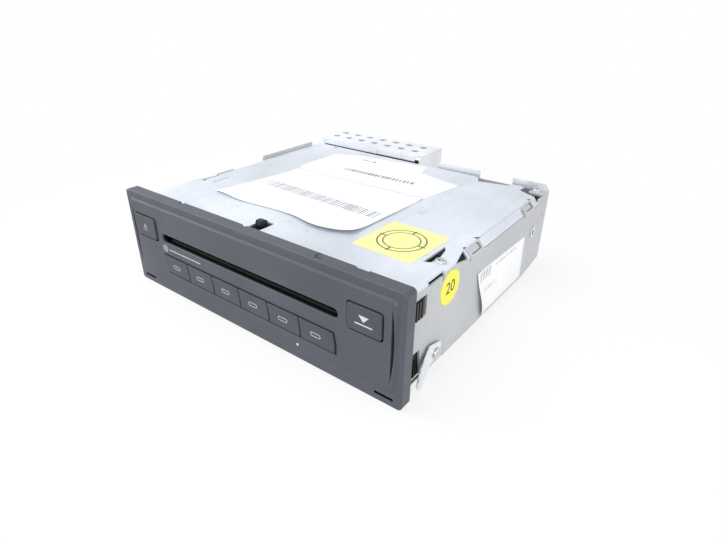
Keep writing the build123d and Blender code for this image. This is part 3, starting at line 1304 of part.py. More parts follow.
with BuildPart() as roller_shaft:
    with BuildSketch(side(-SHAFT_LEFT)):
        with Locations((ROLLER_DEPTH, ROLLER_Z)):
            Circle(ROLLER_SHAFT_R)
    extrude(amount=SHAFT_LEFT + SHAFT_RIGHT)
    with BuildSketch(side(DRIVE_GEAR_X)):
        with Locations((ROLLER_DEPTH, ROLLER_Z)):
            gear_outline(ROLLER_TEETH, FINE_MODULE, 0)
    extrude(amount=DRIVE_GEAR_T)
save(roller_shaft, "roller_shaft")

with BuildPart() as rubber_rollers:
    with BuildSketch(Plane(origin=(0, FRONT_Y + ROLLER_DEPTH, ROLLER_Z), x_dir=(1, 0, 0), z_dir=(0, -1, 0))):
        polygon([
            (ROLLER_INNER, ROLLER_SHAFT_R),
            (ROLLER_INNER, ROLLER_R - ROLLER_TAPER),
            (ROLLER_INNER + ROLLER_LONG, ROLLER_R),
            (ROLLER_INNER + ROLLER_LONG, ROLLER_SHAFT_R),
        ])
    revolve(axis=Axis((0, FRONT_Y + ROLLER_DEPTH, ROLLER_Z), (1, 0, 0)))
    mirror(about=Plane.YZ)
save(rubber_rollers, "rubber_rollers")

with BuildPart() as drive_gear:
    mesh_angle = degrees(atan2(ROLLER_Z - LEVER_Z, ROLLER_DEPTH - LEVER_DEPTH))
    roller_step = 360 / ROLLER_TEETH
    roller_lag = (mesh_angle + 180) - roller_step * floor((mesh_angle + 180) / roller_step + 0.5)
    drive_turn = mesh_angle + roller_lag * ROLLER_TEETH / DRIVE_TEETH + 180 / DRIVE_TEETH
    with BuildSketch(side(DRIVE_GEAR_X)):
        with Locations((LEVER_DEPTH, LEVER_Z)):
            gear_outline(DRIVE_TEETH, FINE_MODULE, drive_turn)
            Circle(ROLLER_SHAFT_R + FIT, mode=Mode.SUBTRACT)
    extrude(amount=DRIVE_GEAR_T)
    with BuildSketch(side(DRIVE_GEAR_X + DRIVE_GEAR_T)):
        with Locations((LEVER_DEPTH, LEVER_Z)):
            Circle(PULLEY_R)
            Circle(ROLLER_SHAFT_R + FIT, mode=Mode.SUBTRACT)
    extrude(amount=2.4)
save(drive_gear, "drive_gear")

MOTOR_RIGHT = LEVER_X - 1.2
with BuildPart() as loading_motor:
    with BuildSketch(side(MOTOR_RIGHT)):
        with Locations((LOAD_MOTOR_DEPTH, LOAD_MOTOR_Z)):
            Circle(LOAD_MOTOR_R)
    extrude(amount=-LOAD_MOTOR_LONG)
save(loading_motor, "loading_motor")

with BuildPart() as motor_pulley:
    with BuildSketch(side(MOTOR_RIGHT + GAP)):
        with Locations((LOAD_MOTOR_DEPTH, LOAD_MOTOR_Z)):
            Circle(1.0)
    extrude(amount=PULLEY_X + 2.4 - MOTOR_RIGHT - GAP)
    with BuildSketch(side(PULLEY_X)):
        with Locations((LOAD_MOTOR_DEPTH, LOAD_MOTOR_Z)):
            Circle(MOTOR_PULLEY_R)
    extrude(amount=2.1)
save(motor_pulley, "motor_pulley")

with BuildPart() as loading_belt:
    with BuildSketch(side(PULLEY_X + 0.3)):
        with Locations((LEVER_DEPTH, LEVER_Z)):
            Circle(PULLEY_R + FIT + BELT_T)
        with Locations((LOAD_MOTOR_DEPTH, LOAD_MOTOR_Z)):
            Circle(MOTOR_PULLEY_R + FIT + BELT_T)
        make_hull()
        with BuildSketch(side(PULLEY_X + 0.3), mode=Mode.PRIVATE) as belt_bore:
            with Locations((LEVER_DEPTH, LEVER_Z)):
                Circle(PULLEY_R + FIT)
            with Locations((LOAD_MOTOR_DEPTH, LOAD_MOTOR_Z)):
                Circle(MOTOR_PULLEY_R + FIT)
            make_hull()
        add(belt_bore.sketch_local, mode=Mode.SUBTRACT)
    extrude(amount=1.2)
save(loading_belt, "loading_belt")

with BuildPart() as disc_guide:
    with BuildSketch(level(GUIDE_Z)):
        with Locations((0, 21.0)):
            Rectangle(DECK_W, 16.0)
    extrude(amount=GUIDE_T)
    for hand in (-1, 1):
        with BuildSketch(side(hand * (DECK_W / 2 - 0.8) - 0.8)):
            with Locations((19.0, (DECK_TOP + GUIDE_Z) / 2)):
                Rectangle(9.0, GUIDE_Z - DECK_TOP)
        extrude(amount=1.6)
    # Ribs that press the disc on the rollers.
    with BuildSketch(level(GUIDE_Z)):
        with Locations((0, ROLLER_DEPTH)):
            with GridLocations(22.0, 1.0, 6, 1):
                Rectangle(2.0, 6.0)
    extrude(amount=SLOT_Z + DISC_T / 2 + GAP - GUIDE_Z)
save(disc_guide, "disc_guide")

# ---- Paper and stickers ----------------------------------------------------------------------
with BuildPart() as front_paper_label:
    with BuildSketch(level(CASE_TOP)):
        polygon([(-63.0, 37.4), (37.1, 37.4), (38.7, 101.0), (-55.3, 98.0)])
    extrude(amount=PAPER_T)
save(front_paper_label, "front_paper_label")

with BuildPart() as rear_paper_label:
    with BuildSketch(level(CASE_TOP)):
        polygon([
            (-54.6, 98.6),
            (38.4, 101.4),
            (43.4, 133.9),
            (13.5, 141.2),
            (9.0, 155.1),
            (-42.3, 149.2),
            (-58.8, 142.3),
            (-59.0, 107.0),
        ])
    extrude(amount=PAPER_T)
save(rear_paper_label, "rear_paper_label")

with BuildPart() as square_sticker:
    with BuildSketch(level(CASE_TOP)):
        with Locations(Location((59.4, 47.9, 0), (0, 0, -2.0))):
            RectangleRounded(32.5, 33.6, 0.8)
    extrude(amount=STICKER_T)
save(square_sticker, "square_sticker")

with BuildPart() as round_sticker:
    with BuildSketch(side(CASE_HALF)):
        with Locations((ROUND_STICKER_DEPTH, ROUND_STICKER_Z)):
            Circle(ROUND_STICKER_R)
    extrude(amount=STICKER_T)
save(round_sticker, "round_sticker")

with BuildPart() as side_label:
    with BuildSketch(side(CASE_HALF)):
        polygon([(69.6, 34.2), (130.5, 32.4), (132.4, 4.9), (77.6, 4.9)])
    extrude(amount=STICKER_T)
save(side_label, "side_label")
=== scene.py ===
import json
import math

import bmesh
import bpy
from mathutils import Matrix, Vector


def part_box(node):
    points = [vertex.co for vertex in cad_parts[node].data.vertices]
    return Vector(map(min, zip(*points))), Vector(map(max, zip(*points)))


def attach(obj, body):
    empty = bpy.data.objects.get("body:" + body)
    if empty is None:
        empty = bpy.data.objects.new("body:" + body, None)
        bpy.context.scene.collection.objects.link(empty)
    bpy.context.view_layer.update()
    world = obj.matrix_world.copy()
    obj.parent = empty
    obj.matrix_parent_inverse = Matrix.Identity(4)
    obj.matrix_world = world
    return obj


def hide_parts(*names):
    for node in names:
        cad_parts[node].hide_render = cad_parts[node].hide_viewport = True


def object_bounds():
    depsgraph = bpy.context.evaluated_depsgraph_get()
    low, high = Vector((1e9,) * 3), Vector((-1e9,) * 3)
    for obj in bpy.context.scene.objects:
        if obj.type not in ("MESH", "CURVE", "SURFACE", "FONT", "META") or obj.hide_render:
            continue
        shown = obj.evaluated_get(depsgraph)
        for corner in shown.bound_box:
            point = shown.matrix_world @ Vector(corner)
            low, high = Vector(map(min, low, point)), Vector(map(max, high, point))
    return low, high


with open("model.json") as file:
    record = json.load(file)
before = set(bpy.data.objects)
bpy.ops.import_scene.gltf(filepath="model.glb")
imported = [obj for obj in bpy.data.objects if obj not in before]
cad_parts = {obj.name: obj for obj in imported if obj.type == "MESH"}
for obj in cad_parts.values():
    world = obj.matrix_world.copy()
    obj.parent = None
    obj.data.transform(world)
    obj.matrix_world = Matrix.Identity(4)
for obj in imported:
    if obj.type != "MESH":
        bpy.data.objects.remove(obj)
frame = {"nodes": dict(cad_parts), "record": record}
cad_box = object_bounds()
nodes = frame["nodes"]

# Places of the CAD surfaces: the trim's in metres for its painted-shade mask, the others in millimetres for at().
BEZEL_PROUD = 0.9
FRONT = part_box("front_bezel")[0].y + BEZEL_PROUD / 1000
TRIM_INSIDE_X = 0.0912
TRIM_INSIDE_FOOT = 0.0018
TRIM_INSIDE_TOP = 0.0545
RIM_DEPTH = 0.00655
LID_Z = 50.7
WALL_X = 89.75
BUTTON_FACE = -1.7
MARK_LIFT = 0.06
SEAM_LIFT = 0.03

# The camera stands where it makes the photograph's view.
CAMERA_PLACE = (174.18, -136.64, 152.16)
FOCAL_PIXELS = 510.47
VIEW_PIXELS = 722
SENSOR_MM = 36.0


def at(x, depth, z):
    """A point from millimetres: right of centre, behind the front face, above the ground."""
    return Vector((x / 1000, FRONT + depth / 1000, z / 1000))


# ---- Camera ----------------------------------------------------------------------------------
right = Vector((0.7942, 0.6075, 0.0078))
down = Vector((0.286, -0.3626, -0.887))
forward = right.cross(down).normalized()
down = forward.cross(right).normalized()
right.normalize()
turn = Matrix((right, -down, -forward)).transposed()
camera_data = bpy.data.cameras.new("camera")
camera = bpy.data.objects.new("camera", camera_data)
bpy.context.scene.collection.objects.link(camera)
camera.matrix_world = Matrix.Translation(at(*CAMERA_PLACE)) @ turn.to_4x4()
camera_data.sensor_width = SENSOR_MM
camera_data.lens = FOCAL_PIXELS * SENSOR_MM / VIEW_PIXELS
camera_data.shift_x = 0.0032
camera_data.shift_y = -0.0129
camera_data.clip_start = 0.01
bpy.context.scene.camera = camera

# ---- Light, floor and world ------------------------------------------------------------------
bpy.context.scene.view_settings.view_transform = "Standard"


def lamp(name, where, aim, size, power, colour=(1, 1, 1)):
    """A soft round light that points at a place."""
    data = bpy.data.lights.new(name, "AREA")
    data.shape = "DISK"
    data.size = size
    data.energy = power
    data.color = colour
    obj = bpy.data.objects.new(name, data)
    bpy.context.scene.collection.objects.link(obj)
    obj.location = where
    obj.rotation_euler = (Vector(aim) - Vector(where)).to_track_quat("-Z", "Y").to_euler()
    return obj


lamp("lamp_top", (-0.35, -0.25, 0.9), (0, 0, 0), 0.9, 5.6)
lamp("lamp_front", (0.55, -0.75, 0.5), (0, 0, 0.03), 0.7, 4.2)
lamp("lamp_left", (-0.8, -0.3, 0.4), (0, 0, 0.03), 0.7, 2.4)
lamp("lamp_right", (0.85, 0.15, 0.35), (0, 0, 0.03), 0.6, 1.7)

world = bpy.data.worlds.new("studio")
bpy.context.scene.world = world
world.use_nodes = True
sky = world.node_tree
sky.nodes.clear()


def background(colour, strength):
    node = sky.nodes.new("ShaderNodeBackground")
    node.inputs["Color"].default_value = (*colour, 1)
    node.inputs["Strength"].default_value = strength
    return node.outputs[0]


# What is seen directly, mirrored or through glass is plain white; a dimmer, cooler sky gives the light.
light_path = sky.nodes.new("ShaderNodeLightPath")
is_seen = light_path.outputs["Is Camera Ray"]
for kind in ("Is Glossy Ray", "Is Transmission Ray"):
    either = sky.nodes.new("ShaderNodeMath")
    either.operation = "MAXIMUM"
    sky.links.new(is_seen, either.inputs[0])
    sky.links.new(light_path.outputs[kind], either.inputs[1])
    is_seen = either.outputs[0]
sky_mix = sky.nodes.new("ShaderNodeMixShader")
sky.links.new(is_seen, sky_mix.inputs[0])
sky.links.new(background((0.92, 0.95, 1.0), 0.50), sky_mix.inputs[1])
sky.links.new(background((1, 1, 1), 1.0), sky_mix.inputs[2])
sky.links.new(sky_mix.outputs[0], sky.nodes.new("ShaderNodeOutputWorld").inputs[0])


# ---- Materials -------------------------------------------------------------------------------
class Nodes:
    """Small helper that adds shader nodes and joins them."""

    def __init__(self, name):
        self.material = bpy.data.materials.new(name)
        self.material.use_nodes = True
        self.tree = self.material.node_tree
        self.tree.nodes.clear()
        self.out = self.tree.nodes.new("ShaderNodeOutputMaterial")
        self.shader = self.tree.nodes.new("ShaderNodeBsdfPrincipled")
        self.tree.links.new(self.shader.outputs[0], self.out.inputs[0])
        self.coords = self.tree.nodes.new("ShaderNodeTexCoord").outputs["Object"]

    def put(self, value, socket):
        if isinstance(value, (int, float)):
            socket.default_value = value
        elif isinstance(value, (tuple, list)):
            socket.default_value = (*value, 1) if len(value) == 3 and len(socket.default_value) == 4 else value
        else:
            self.tree.links.new(value, socket)

    def math(self, operation, a, b=0.0):
        node = self.tree.nodes.new("ShaderNodeMath")
        node.operation = operation
        self.put(a, node.inputs[0])
        self.put(b, node.inputs[1])
        return node.outputs[0]

    def mapped(self, move=(0, 0, 0), turn=(0, 0, 0), scale=(1, 1, 1)):
        node = self.tree.nodes.new("ShaderNodeMapping")
        node.vector_type = "TEXTURE"
        self.tree.links.new(self.coords, node.inputs[0])
        node.inputs[1].default_value = move
        node.inputs[2].default_value = turn
        node.inputs[3].default_value = scale
        return node.outputs[0]

    def noise(self, scale, detail=3.0, rough=0.55, stretch=(1, 1, 1), move=(0, 0, 0)):
        node = self.tree.nodes.new("ShaderNodeTexNoise")
        self.tree.links.new(self.mapped(move=move, scale=stretch), node.inputs["Vector"])
        node.inputs["Scale"].default_value = scale
        node.inputs["Detail"].default_value = detail
        node.inputs["Roughness"].default_value = rough
        return node.outputs[0]

    def cells(self, scale):
        node = self.tree.nodes.new("ShaderNodeTexVoronoi")
        self.tree.links.new(self.mapped(), node.inputs["Vector"])
        node.inputs["Scale"].default_value = scale
        return node.outputs["Distance"]

    def ramp(self, value, low, high, to_low=0.0, to_high=1.0):
        node = self.tree.nodes.new("ShaderNodeMapRange")
        self.put(value, node.inputs[0])
        node.inputs[1].default_value = low
        node.inputs[2].default_value = high
        node.inputs[3].default_value = to_low
        node.inputs[4].default_value = to_high
        return node.outputs[0]

    def mix(self, factor, a, b):
        node = self.tree.nodes.new("ShaderNodeMix")
        node.data_type = "RGBA"
        self.put(factor, node.inputs["Factor"])
        self.put(a, node.inputs[6])
        self.put(b, node.inputs[7])
        return node.outputs[2]

    def split(self, vector):
        node = self.tree.nodes.new("ShaderNodeSeparateXYZ")
        self.tree.links.new(vector, node.inputs[0])
        return node.outputs

    def bump(self, height, strength, distance, onto=None):
        node = self.tree.nodes.new("ShaderNodeBump")
        node.inputs["Strength"].default_value = strength
        node.inputs["Distance"].default_value = distance
        self.put(height, node.inputs["Height"])
        if onto is not None:
            self.tree.links.new(onto, node.inputs["Normal"])
        return node.outputs[0]

    def set(self, name, value):
        self.put(value, self.shader.inputs[name])

    def inside(self, value, half):
        """1 where a distance is under half, else 0."""
        return self.math("LESS_THAN", self.math("ABSOLUTE", value), half)

    def both(self, *masks):
        value = masks[0]
        for mask in masks[1:]:
            value = self.math("MULTIPLY", value, mask)
        return value


def shade(colour, factor):
    return tuple(min(1.0, c * factor) for c in colour)


def plastic(name, colour, rough=0.45, grain=2600.0, grain_depth=0.00004, dust=0.0, vary=0.12, inside=None):
    """Moulded plastic; inside(m) gives a mask of what lies behind the outer skin, where the colour is painted
    near-black as shade.
    """
    m = Nodes(name)
    cloud = m.noise(28.0, 4.0)
    tone = m.mix(m.ramp(cloud, 0.3, 0.7), shade(colour, 1 - vary), shade(colour, 1 + vary))
    if dust:
        specks = m.ramp(m.noise(900.0, 2.0, move=(0.3, 0.1, 0.2)), 0.70, 0.78)
        tone = m.mix(m.math("MULTIPLY", specks, dust), tone, (0.55, 0.56, 0.58))
    if inside:
        # Painted shade: behind the outer skin the colour drops to 6 per cent of its own.
        tone = m.mix(inside(m), tone, shade(colour, 0.06))
    m.set("Base Color", tone)
    m.set("Roughness", m.ramp(m.noise(60.0, 5.0, move=(0.1, 0, 0)), 0.25, 0.75, rough - 0.07, rough + 0.08))
    m.set("Specular IOR Level", 0.45)
    m.set("Normal", m.bump(m.noise(grain, 2.0), 0.35, grain_depth))
    return m.material


def painted_shade_behind_trim(m):
    """1 behind the front face and within the trim, or anywhere behind the trim's rim; there the plastic is painted
    near-black: painted shade in the slot and openings, and the latch's darker plastic behind the rim.
    """
    x, y, z = m.split(m.coords)
    past_face = m.math("GREATER_THAN", y, FRONT + 0.0002)
    within = m.both(
        m.inside(x, TRIM_INSIDE_X), m.math("GREATER_THAN", z, TRIM_INSIDE_FOOT), m.math("LESS_THAN", z, TRIM_INSIDE_TOP)
    )
    past_rim = m.math("GREATER_THAN", y, FRONT + RIM_DEPTH + 0.0001)
    return m.math("MAXIMUM", m.math("MULTIPLY", past_face, within), past_rim)


def sheet_metal(name, colour, rough=0.33, stretch=(1, 14, 14), spots=0.5, scratch=0.5, metallic=0.55):
    m = Nodes(name)
    rolled = m.noise(260.0, 5.0, 0.6, stretch=stretch)
    cloud = m.noise(16.0, 4.0, 0.6, move=(0.2, 0.3, 0.1))
    tone = m.mix(m.ramp(cloud, 0.3, 0.7), shade(colour, 0.86), shade(colour, 1.06))
    tone = m.mix(m.ramp(rolled, 0.35, 0.65, 0.0, 0.22), tone, shade(colour, 0.80))
    stain = m.ramp(m.noise(85.0, 5.0, 0.7, move=(0.5, 0.2, 0.4)), 0.60, 0.74, 0.0, spots)
    tone = m.mix(stain, tone, shade(colour, 0.62))
    line = m.ramp(m.noise(70.0, 2.0, 0.5, stretch=(1.0, 0.03, 0.2), move=(0.7, 0.1, 0.2)), 0.70, 0.72, 0.0, scratch)
    tone = m.mix(line, tone, shade(colour, 1.2))
    m.set("Base Color", tone)
    m.set("Metallic", metallic)
    base = m.ramp(cloud, 0.3, 0.7, rough - 0.05, rough + 0.09)
    m.set("Roughness", m.math("ADD", base, m.math("MULTIPLY", stain, 0.25)))
    m.set("Normal", m.bump(rolled, 0.18, 0.00005))
    return m.material


def bright_metal(name, colour, rough=0.2):
    m = Nodes(name)
    turned = m.noise(900.0, 4.0)
    m.set("Base Color", m.mix(m.ramp(turned, 0.3, 0.7), shade(colour, 0.85), shade(colour, 1.08)))
    m.set("Metallic", 1.0)
    m.set("Roughness", m.ramp(m.noise(150.0, 4.0), 0.3, 0.7, rough - 0.06, rough + 0.12))
    m.set("Normal", m.bump(turned, 0.12, 0.00003))
    return m.material


def rubber(name, colour):
    m = Nodes(name)
    m.set("Base Color", m.mix(m.ramp(m.noise(120.0, 4.0), 0.3, 0.7), shade(colour, 0.8), shade(colour, 1.5)))
    m.set("Roughness", m.ramp(m.noise(60.0), 0.3, 0.7, 0.68, 0.88))
    m.set("Normal", m.bump(m.noise(1800.0, 3.0), 0.4, 0.00005))
    return m.material


def felt(name):
    m = Nodes(name)
    pile = m.noise(3500.0, 4.0, 0.7)
    m.set("Base Color", m.mix(m.ramp(pile, 0.3, 0.7), (0.006, 0.006, 0.007), (0.03, 0.03, 0.032)))
    m.set("Roughness", m.ramp(pile, 0.2, 0.8, 0.85, 1.0))
    m.set("Sheen Weight", 0.1)
    m.set("Normal", m.bump(pile, 0.8, 0.0001))
    return m.material


def circuit(name):
    m = Nodes(name)
    track = m.ramp(m.cells(180.0), 0.10, 0.13)
    base = m.mix(track, (0.10, 0.30, 0.10), (0.02, 0.12, 0.05))
    pad = m.ramp(m.cells(420.0), 0.10, 0.06)
    m.set("Base Color", m.mix(m.math("MULTIPLY", pad, 0.6), base, (0.60, 0.58, 0.45)))
    m.set("Roughness", m.ramp(m.noise(90.0), 0.3, 0.7, 0.22, 0.38))
    m.set("Normal", m.bump(track, 0.3, 0.0001))
    return m.material


def paper_base(m, colour, fold=0.0):
    fibre = m.noise(1500.0, 4.0, 0.65)
    cloud = m.noise(30.0, 3.0)
    tone = m.mix(m.ramp(cloud, 0.3, 0.7), shade(colour, 0.95), colour)
    tone = m.mix(m.ramp(fibre, 0.55, 0.75, 0.0, 0.25), tone, shade(colour, 0.90))
    m.set("Roughness", m.ramp(fibre, 0.2, 0.8, 0.55, 0.72))
    wave = m.noise(45.0, 2.0, move=(0.2, 0.4, 0))
    m.set("Normal", m.bump(wave, fold, 0.0012, m.bump(fibre, 0.25, 0.00003)))
    return tone


def bar_mask(m, centre, angle, width, height, pitch, plane="xy", seed=3.1, fill=0.5, rows=1):
    """Upright bars at an even pitch in a turned rectangle, each of its own width; sizes in metres."""
    if plane == "xy":
        u, v, _ = m.split(m.mapped(move=(centre[0], centre[1], 0), turn=(0, 0, angle)))
    else:
        _, u, v = m.split(m.mapped(move=(0, centre[0], centre[1]), turn=(angle, 0, 0)))
    column = m.math("DIVIDE", u, pitch)
    line = m.math("DIVIDE", m.math("ADD", v, height / 2), height / rows)
    step = m.math("ADD", m.math("FLOOR", column), m.math("MULTIPLY", m.math("FLOOR", line), 17.3))
    random = m.tree.nodes.new("ShaderNodeTexWhiteNoise")
    random.noise_dimensions = "1D"
    m.put(m.math("ADD", step, seed), random.inputs["W"])
    share = m.ramp(random.outputs["Value"], 0.0, 1.0, fill - 0.2, fill + 0.2)
    stripe = m.math("LESS_THAN", m.math("FRACT", column), share)
    if rows > 1:
        stripe = m.math("MULTIPLY", stripe, m.math("LESS_THAN", m.math("FRACT", line), 0.62))
    return m.both(stripe, m.inside(u, width / 2), m.inside(v, height / 2))


def paper(name, colour, bars=(), ink=(0.05, 0.05, 0.055), fold=0.0):
    """Paper, bare or with fields of generic bars; each of bars holds the arguments of bar_mask."""
    m = Nodes(name)
    tone = paper_base(m, colour, fold)
    for bar in bars:
        cover = m.math("MULTIPLY", bar_mask(m, **bar), m.ramp(m.noise(160.0), 0.3, 0.7, 0.7, 0.95))
        tone = m.mix(cover, tone, ink)
    m.set("Base Color", tone)
    m.set("Specular IOR Level", 0.3)
    return m.material


def coated(m, tone):
    m.set("Base Color", tone)
    m.set("Roughness", m.ramp(m.noise(200.0), 0.3, 0.7, 0.34, 0.46))
    return m.material


def plain_sticker(name, colour):
    m = Nodes(name)
    return coated(m, paper_base(m, colour))


def ring_sticker(name, colour, centre, rings, ticks):
    """Coated sticker with plain printed rings and four short ticks round its middle."""
    m = Nodes(name)
    tone = paper_base(m, colour)
    u, v, _ = m.split(m.mapped(move=(*centre, 0), turn=(0, 0, math.radians(-2))))
    radius = m.math("SQRT", m.math("ADD", m.math("MULTIPLY", u, u), m.math("MULTIPLY", v, v)))
    mask = 0.0
    for ring, width in rings:
        mask = m.math("MAXIMUM", mask, m.inside(m.math("SUBTRACT", radius, ring), width / 2))
    low, high, width = ticks
    reach = m.both(m.math("GREATER_THAN", radius, low), m.math("LESS_THAN", radius, high))
    cross = m.math("MAXIMUM", m.inside(u, width / 2), m.inside(v, width / 2))
    mask = m.math("MAXIMUM", mask, m.both(reach, cross))
    return coated(m, m.mix(m.math("MULTIPLY", mask, 0.9), tone, (0.03, 0.03, 0.03)))


def printed(name, colour, rough=0.5):
    m = Nodes(name)
    wear = m.ramp(m.noise(1400.0, 3.0), 0.3, 0.6, 0.75, 1.0)
    m.set("Base Color", m.mix(wear, shade(colour, 0.5), colour))
    m.set("Roughness", m.ramp(m.noise(300.0), 0.3, 0.7, rough - 0.06, rough + 0.06))
    return m.material


def lens_glass(name):
    m = Nodes(name)
    m.set("Base Color", m.mix(m.ramp(m.noise(400.0), 0.3, 0.7), (0.20, 0.24, 0.42), (0.30, 0.30, 0.50)))
    m.set("Roughness", m.ramp(m.noise(200.0), 0.3, 0.7, 0.03, 0.08))
    m.set("Transmission Weight", 0.5)
    return m.material


square_middle = [sum(v) / 2 for v in zip(*[(p.x, p.y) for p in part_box("square_sticker")])]
finish = {
    "bezel_plastic": plastic("bezel_plastic", (0.064, 0.069, 0.087), 0.44, dust=0.35, inside=painted_shade_behind_trim),
    "button_plastic": plastic("button_plastic", (0.048, 0.053, 0.069), 0.42, dust=0.2),
    "felt": felt("felt"),
    "lamp": printed("lamp", (0.75, 0.78, 0.80), 0.2),
    "board": circuit("board"),
    "switch_plastic": plastic("switch_plastic", (0.03, 0.03, 0.032), 0.5),
    "case_steel": sheet_metal("case_steel", (0.55, 0.56, 0.57), 0.50, stretch=(14, 1, 14)),
    "cover_steel": sheet_metal("cover_steel", (0.68, 0.72, 0.78), 0.52),
    "hood_steel": sheet_metal("hood_steel", (0.78, 0.80, 0.83), 0.50),
    "connector_plastic": plastic("connector_plastic", (0.035, 0.035, 0.038), 0.5),
    "deck_steel": sheet_metal("deck_steel", (0.48, 0.50, 0.53), 0.34),
    "damper_rubber": rubber("damper_rubber", (0.02, 0.02, 0.021)),
    "belt_rubber": rubber("belt_rubber", (0.018, 0.018, 0.019)),
    "guide_plastic": plastic("guide_plastic", (0.03, 0.03, 0.033), 0.48),
    "gear_plastic": plastic("gear_plastic", (0.70, 0.68, 0.62), 0.42, vary=0.05),
    "motor_steel": bright_metal("motor_steel", (0.55, 0.56, 0.58), 0.28),
    "screw_steel": bright_metal("screw_steel", (0.62, 0.63, 0.66), 0.18),
    "spring_steel": sheet_metal("spring_steel", (0.82, 0.84, 0.87), 0.42, spots=0.3),
    "tray_metal": sheet_metal("tray_metal", (0.62, 0.63, 0.65), 0.38),
    "sled_metal": bright_metal("sled_metal", (0.42, 0.43, 0.45), 0.42),
    "lens_glass": lens_glass("lens_glass"),
    "white_paper": paper("white_paper", (0.88, 0.89, 0.91)),
    "pale_sticker": ring_sticker(
        "pale_sticker",
        (0.88, 0.88, 0.34),
        square_middle,
        rings=((0.0117, 0.0008), (0.0089, 0.0007)),
        ticks=(0.0089, 0.0128, 0.0010),
    ),
    "yellow_sticker": plain_sticker("yellow_sticker", (0.92, 0.87, 0.06)),
}

slots = {entry["node"]: entry["material_slot"] for entry in frame["record"]["subparts"]}
for name, obj in nodes.items():
    obj.data.materials.clear()
    obj.data.materials.append(finish[slots[name]])
    for polygon in obj.data.polygons:
        polygon.material_index = 0


def lid_spot(x, depth):
    """The x and y of a spot on the lid, in metres, from millimetres."""
    return tuple(at(x, depth, 0))[:2]


def wall_spot(depth, z):
    """The y and z of a spot on the right wall, in metres, from millimetres."""
    return tuple(at(0, depth, z))[1:]


def bars(centre, degrees, width, height, pitch, seed, fill, plane="xy", rows=1):
    """One field of bars for a label; sizes in metres."""
    return {
        "centre": centre, "angle": math.radians(degrees), "width": width, "height": height,
        "pitch": pitch, "seed": seed, "fill": fill, "plane": plane, "rows": rows,
    }


paper_print = paper(
    "paper_print",
    (0.90, 0.91, 0.93),
    bars=(bars(lid_spot(-10, 67.2), -2, 0.085, 0.0085, 0.0019, 3.1, 0.42),),
    ink=(0.20, 0.20, 0.22),
    fold=0.25,
)
rear_print = paper(
    "rear_print",
    (0.88, 0.89, 0.91),
    bars=(
        bars(lid_spot(-5, 119.6), 2.5, 0.052, 0.0040, 0.0026, 5.3, 0.55),
        bars(lid_spot(-28.5, 142.4), -3, 0.011, 0.0026, 0.0031, 2.3, 0.45),
    ),
    ink=(0.13, 0.13, 0.14),
)
label_print = paper(
    "label_print",
    (0.93, 0.93, 0.92),
    bars=(
        bars(wall_spot(79.5, 30), -1.5, 0.0135, 0.0055, 0.0034, 3.1, 0.62, "yz"),
        bars(wall_spot(104, 30), -1.5, 0.028, 0.0016, 0.0031, 7.7, 0.6, "yz"),
        bars(wall_spot(88, 20), -1.5, 0.016, 0.0030, 0.0037, 1.3, 0.6, "yz", rows=2),
    ),
    ink=(0.48, 0.48, 0.49),
    fold=0.5,
)
white_print = printed("white_print", (0.62, 0.64, 0.66))
grey_print = printed("grey_print", (0.30, 0.32, 0.36))
dark_print = printed("dark_print", (0.03, 0.03, 0.03))
seam_shadow = printed("seam_shadow", (0.085, 0.09, 0.10), 0.8)
nodes["rear_paper_label"].data.materials[0] = rear_print
# Painted light: the rear flange gets a brighter copy of the steel, as though lit from the front.
nodes["rear_panel"].data.materials[0] = sheet_metal("rear_steel_lit", (0.82, 0.84, 0.87), 0.50)


# ---- Pieces ----------------------------------------------------------------------------------
def piece(name, mesh_data, material, body, smooth=False, replaces=()):
    mesh = bpy.data.meshes.new(name)
    mesh_data.to_mesh(mesh)
    mesh_data.free()
    mesh.materials.append(material)
    for polygon in mesh.polygons:
        polygon.use_smooth = smooth
    obj = bpy.data.objects.new(name, mesh)
    bpy.context.scene.collection.objects.link(obj)
    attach(obj, body)
    if replaces:
        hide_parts(*replaces)
    return obj


def sheet_of(rows, thick):
    """A thin closed sheet from rows of points, thickened along its own normals."""
    bm = bmesh.new()
    grid = [[bm.verts.new(p) for p in row] for row in rows]
    for a, b in zip(grid, grid[1:]):
        for i in range(len(a) - 1):
            bm.faces.new((a[i], a[i + 1], b[i + 1], b[i]))
    bm.normal_update()
    bmesh.ops.solidify(bm, geom=bm.faces[:], thickness=thick)
    bmesh.ops.recalc_face_normals(bm, faces=bm.faces[:])
    return bm


def flat_face(bm, outline, hole, lift, place):
    """Adds a flat shape from an outer loop and an optional inner loop of as many points."""
    outer = [bm.verts.new(place(u, v, lift)) for u, v in outline]
    if not hole:
        bm.faces.new(outer)
        return
    inner = [bm.verts.new(place(u, v, lift)) for u, v in hole]
    for i in range(len(outer)):
        j = (i + 1) % len(outer)
        bm.faces.new((outer[i], outer[j], inner[j], inner[i]))


def printed_shapes(name, shapes, place, body, lift=MARK_LIFT, thick=0.00004, ink=white_print):
    """A thin piece from (outline, hole) pairs on the surface that place(u, v, lift) gives."""
    bm = bmesh.new()
    for outline, hole in shapes:
        flat_face(bm, outline, hole, lift, place)
    bmesh.ops.recalc_face_normals(bm, faces=bm.faces[:])
    bmesh.ops.solidify(bm, geom=bm.faces[:], thickness=thick)
    bmesh.ops.recalc_face_normals(bm, faces=bm.faces[:])
    return piece(name, bm, ink, body)


def rounded(width, height, radius, steps=5):
    points = []
    for cx, cy, start in ((1, 1, 0), (-1, 1, 90), (-1, -1, 180), (1, -1, 270)):
        for k in range(steps + 1):
            angle = math.radians(start + 90 * k / steps)
            points.append((
                cx * (width / 2 - radius) + radius * math.cos(angle),
                cy * (height / 2 - radius) + radius * math.sin(angle),
            ))
    return points


def circle(radius, steps, centre=(0, 0)):
    turns = [math.tau * k / steps for k in range(steps)]
    return [(centre[0] + radius * math.cos(t), centre[1] + radius * math.sin(t)) for t in turns]


def oblong(u_low, v_low, u_high, v_high):
    return [(u_low, v_low), (u_high, v_low), (u_high, v_high), (u_low, v_high)]


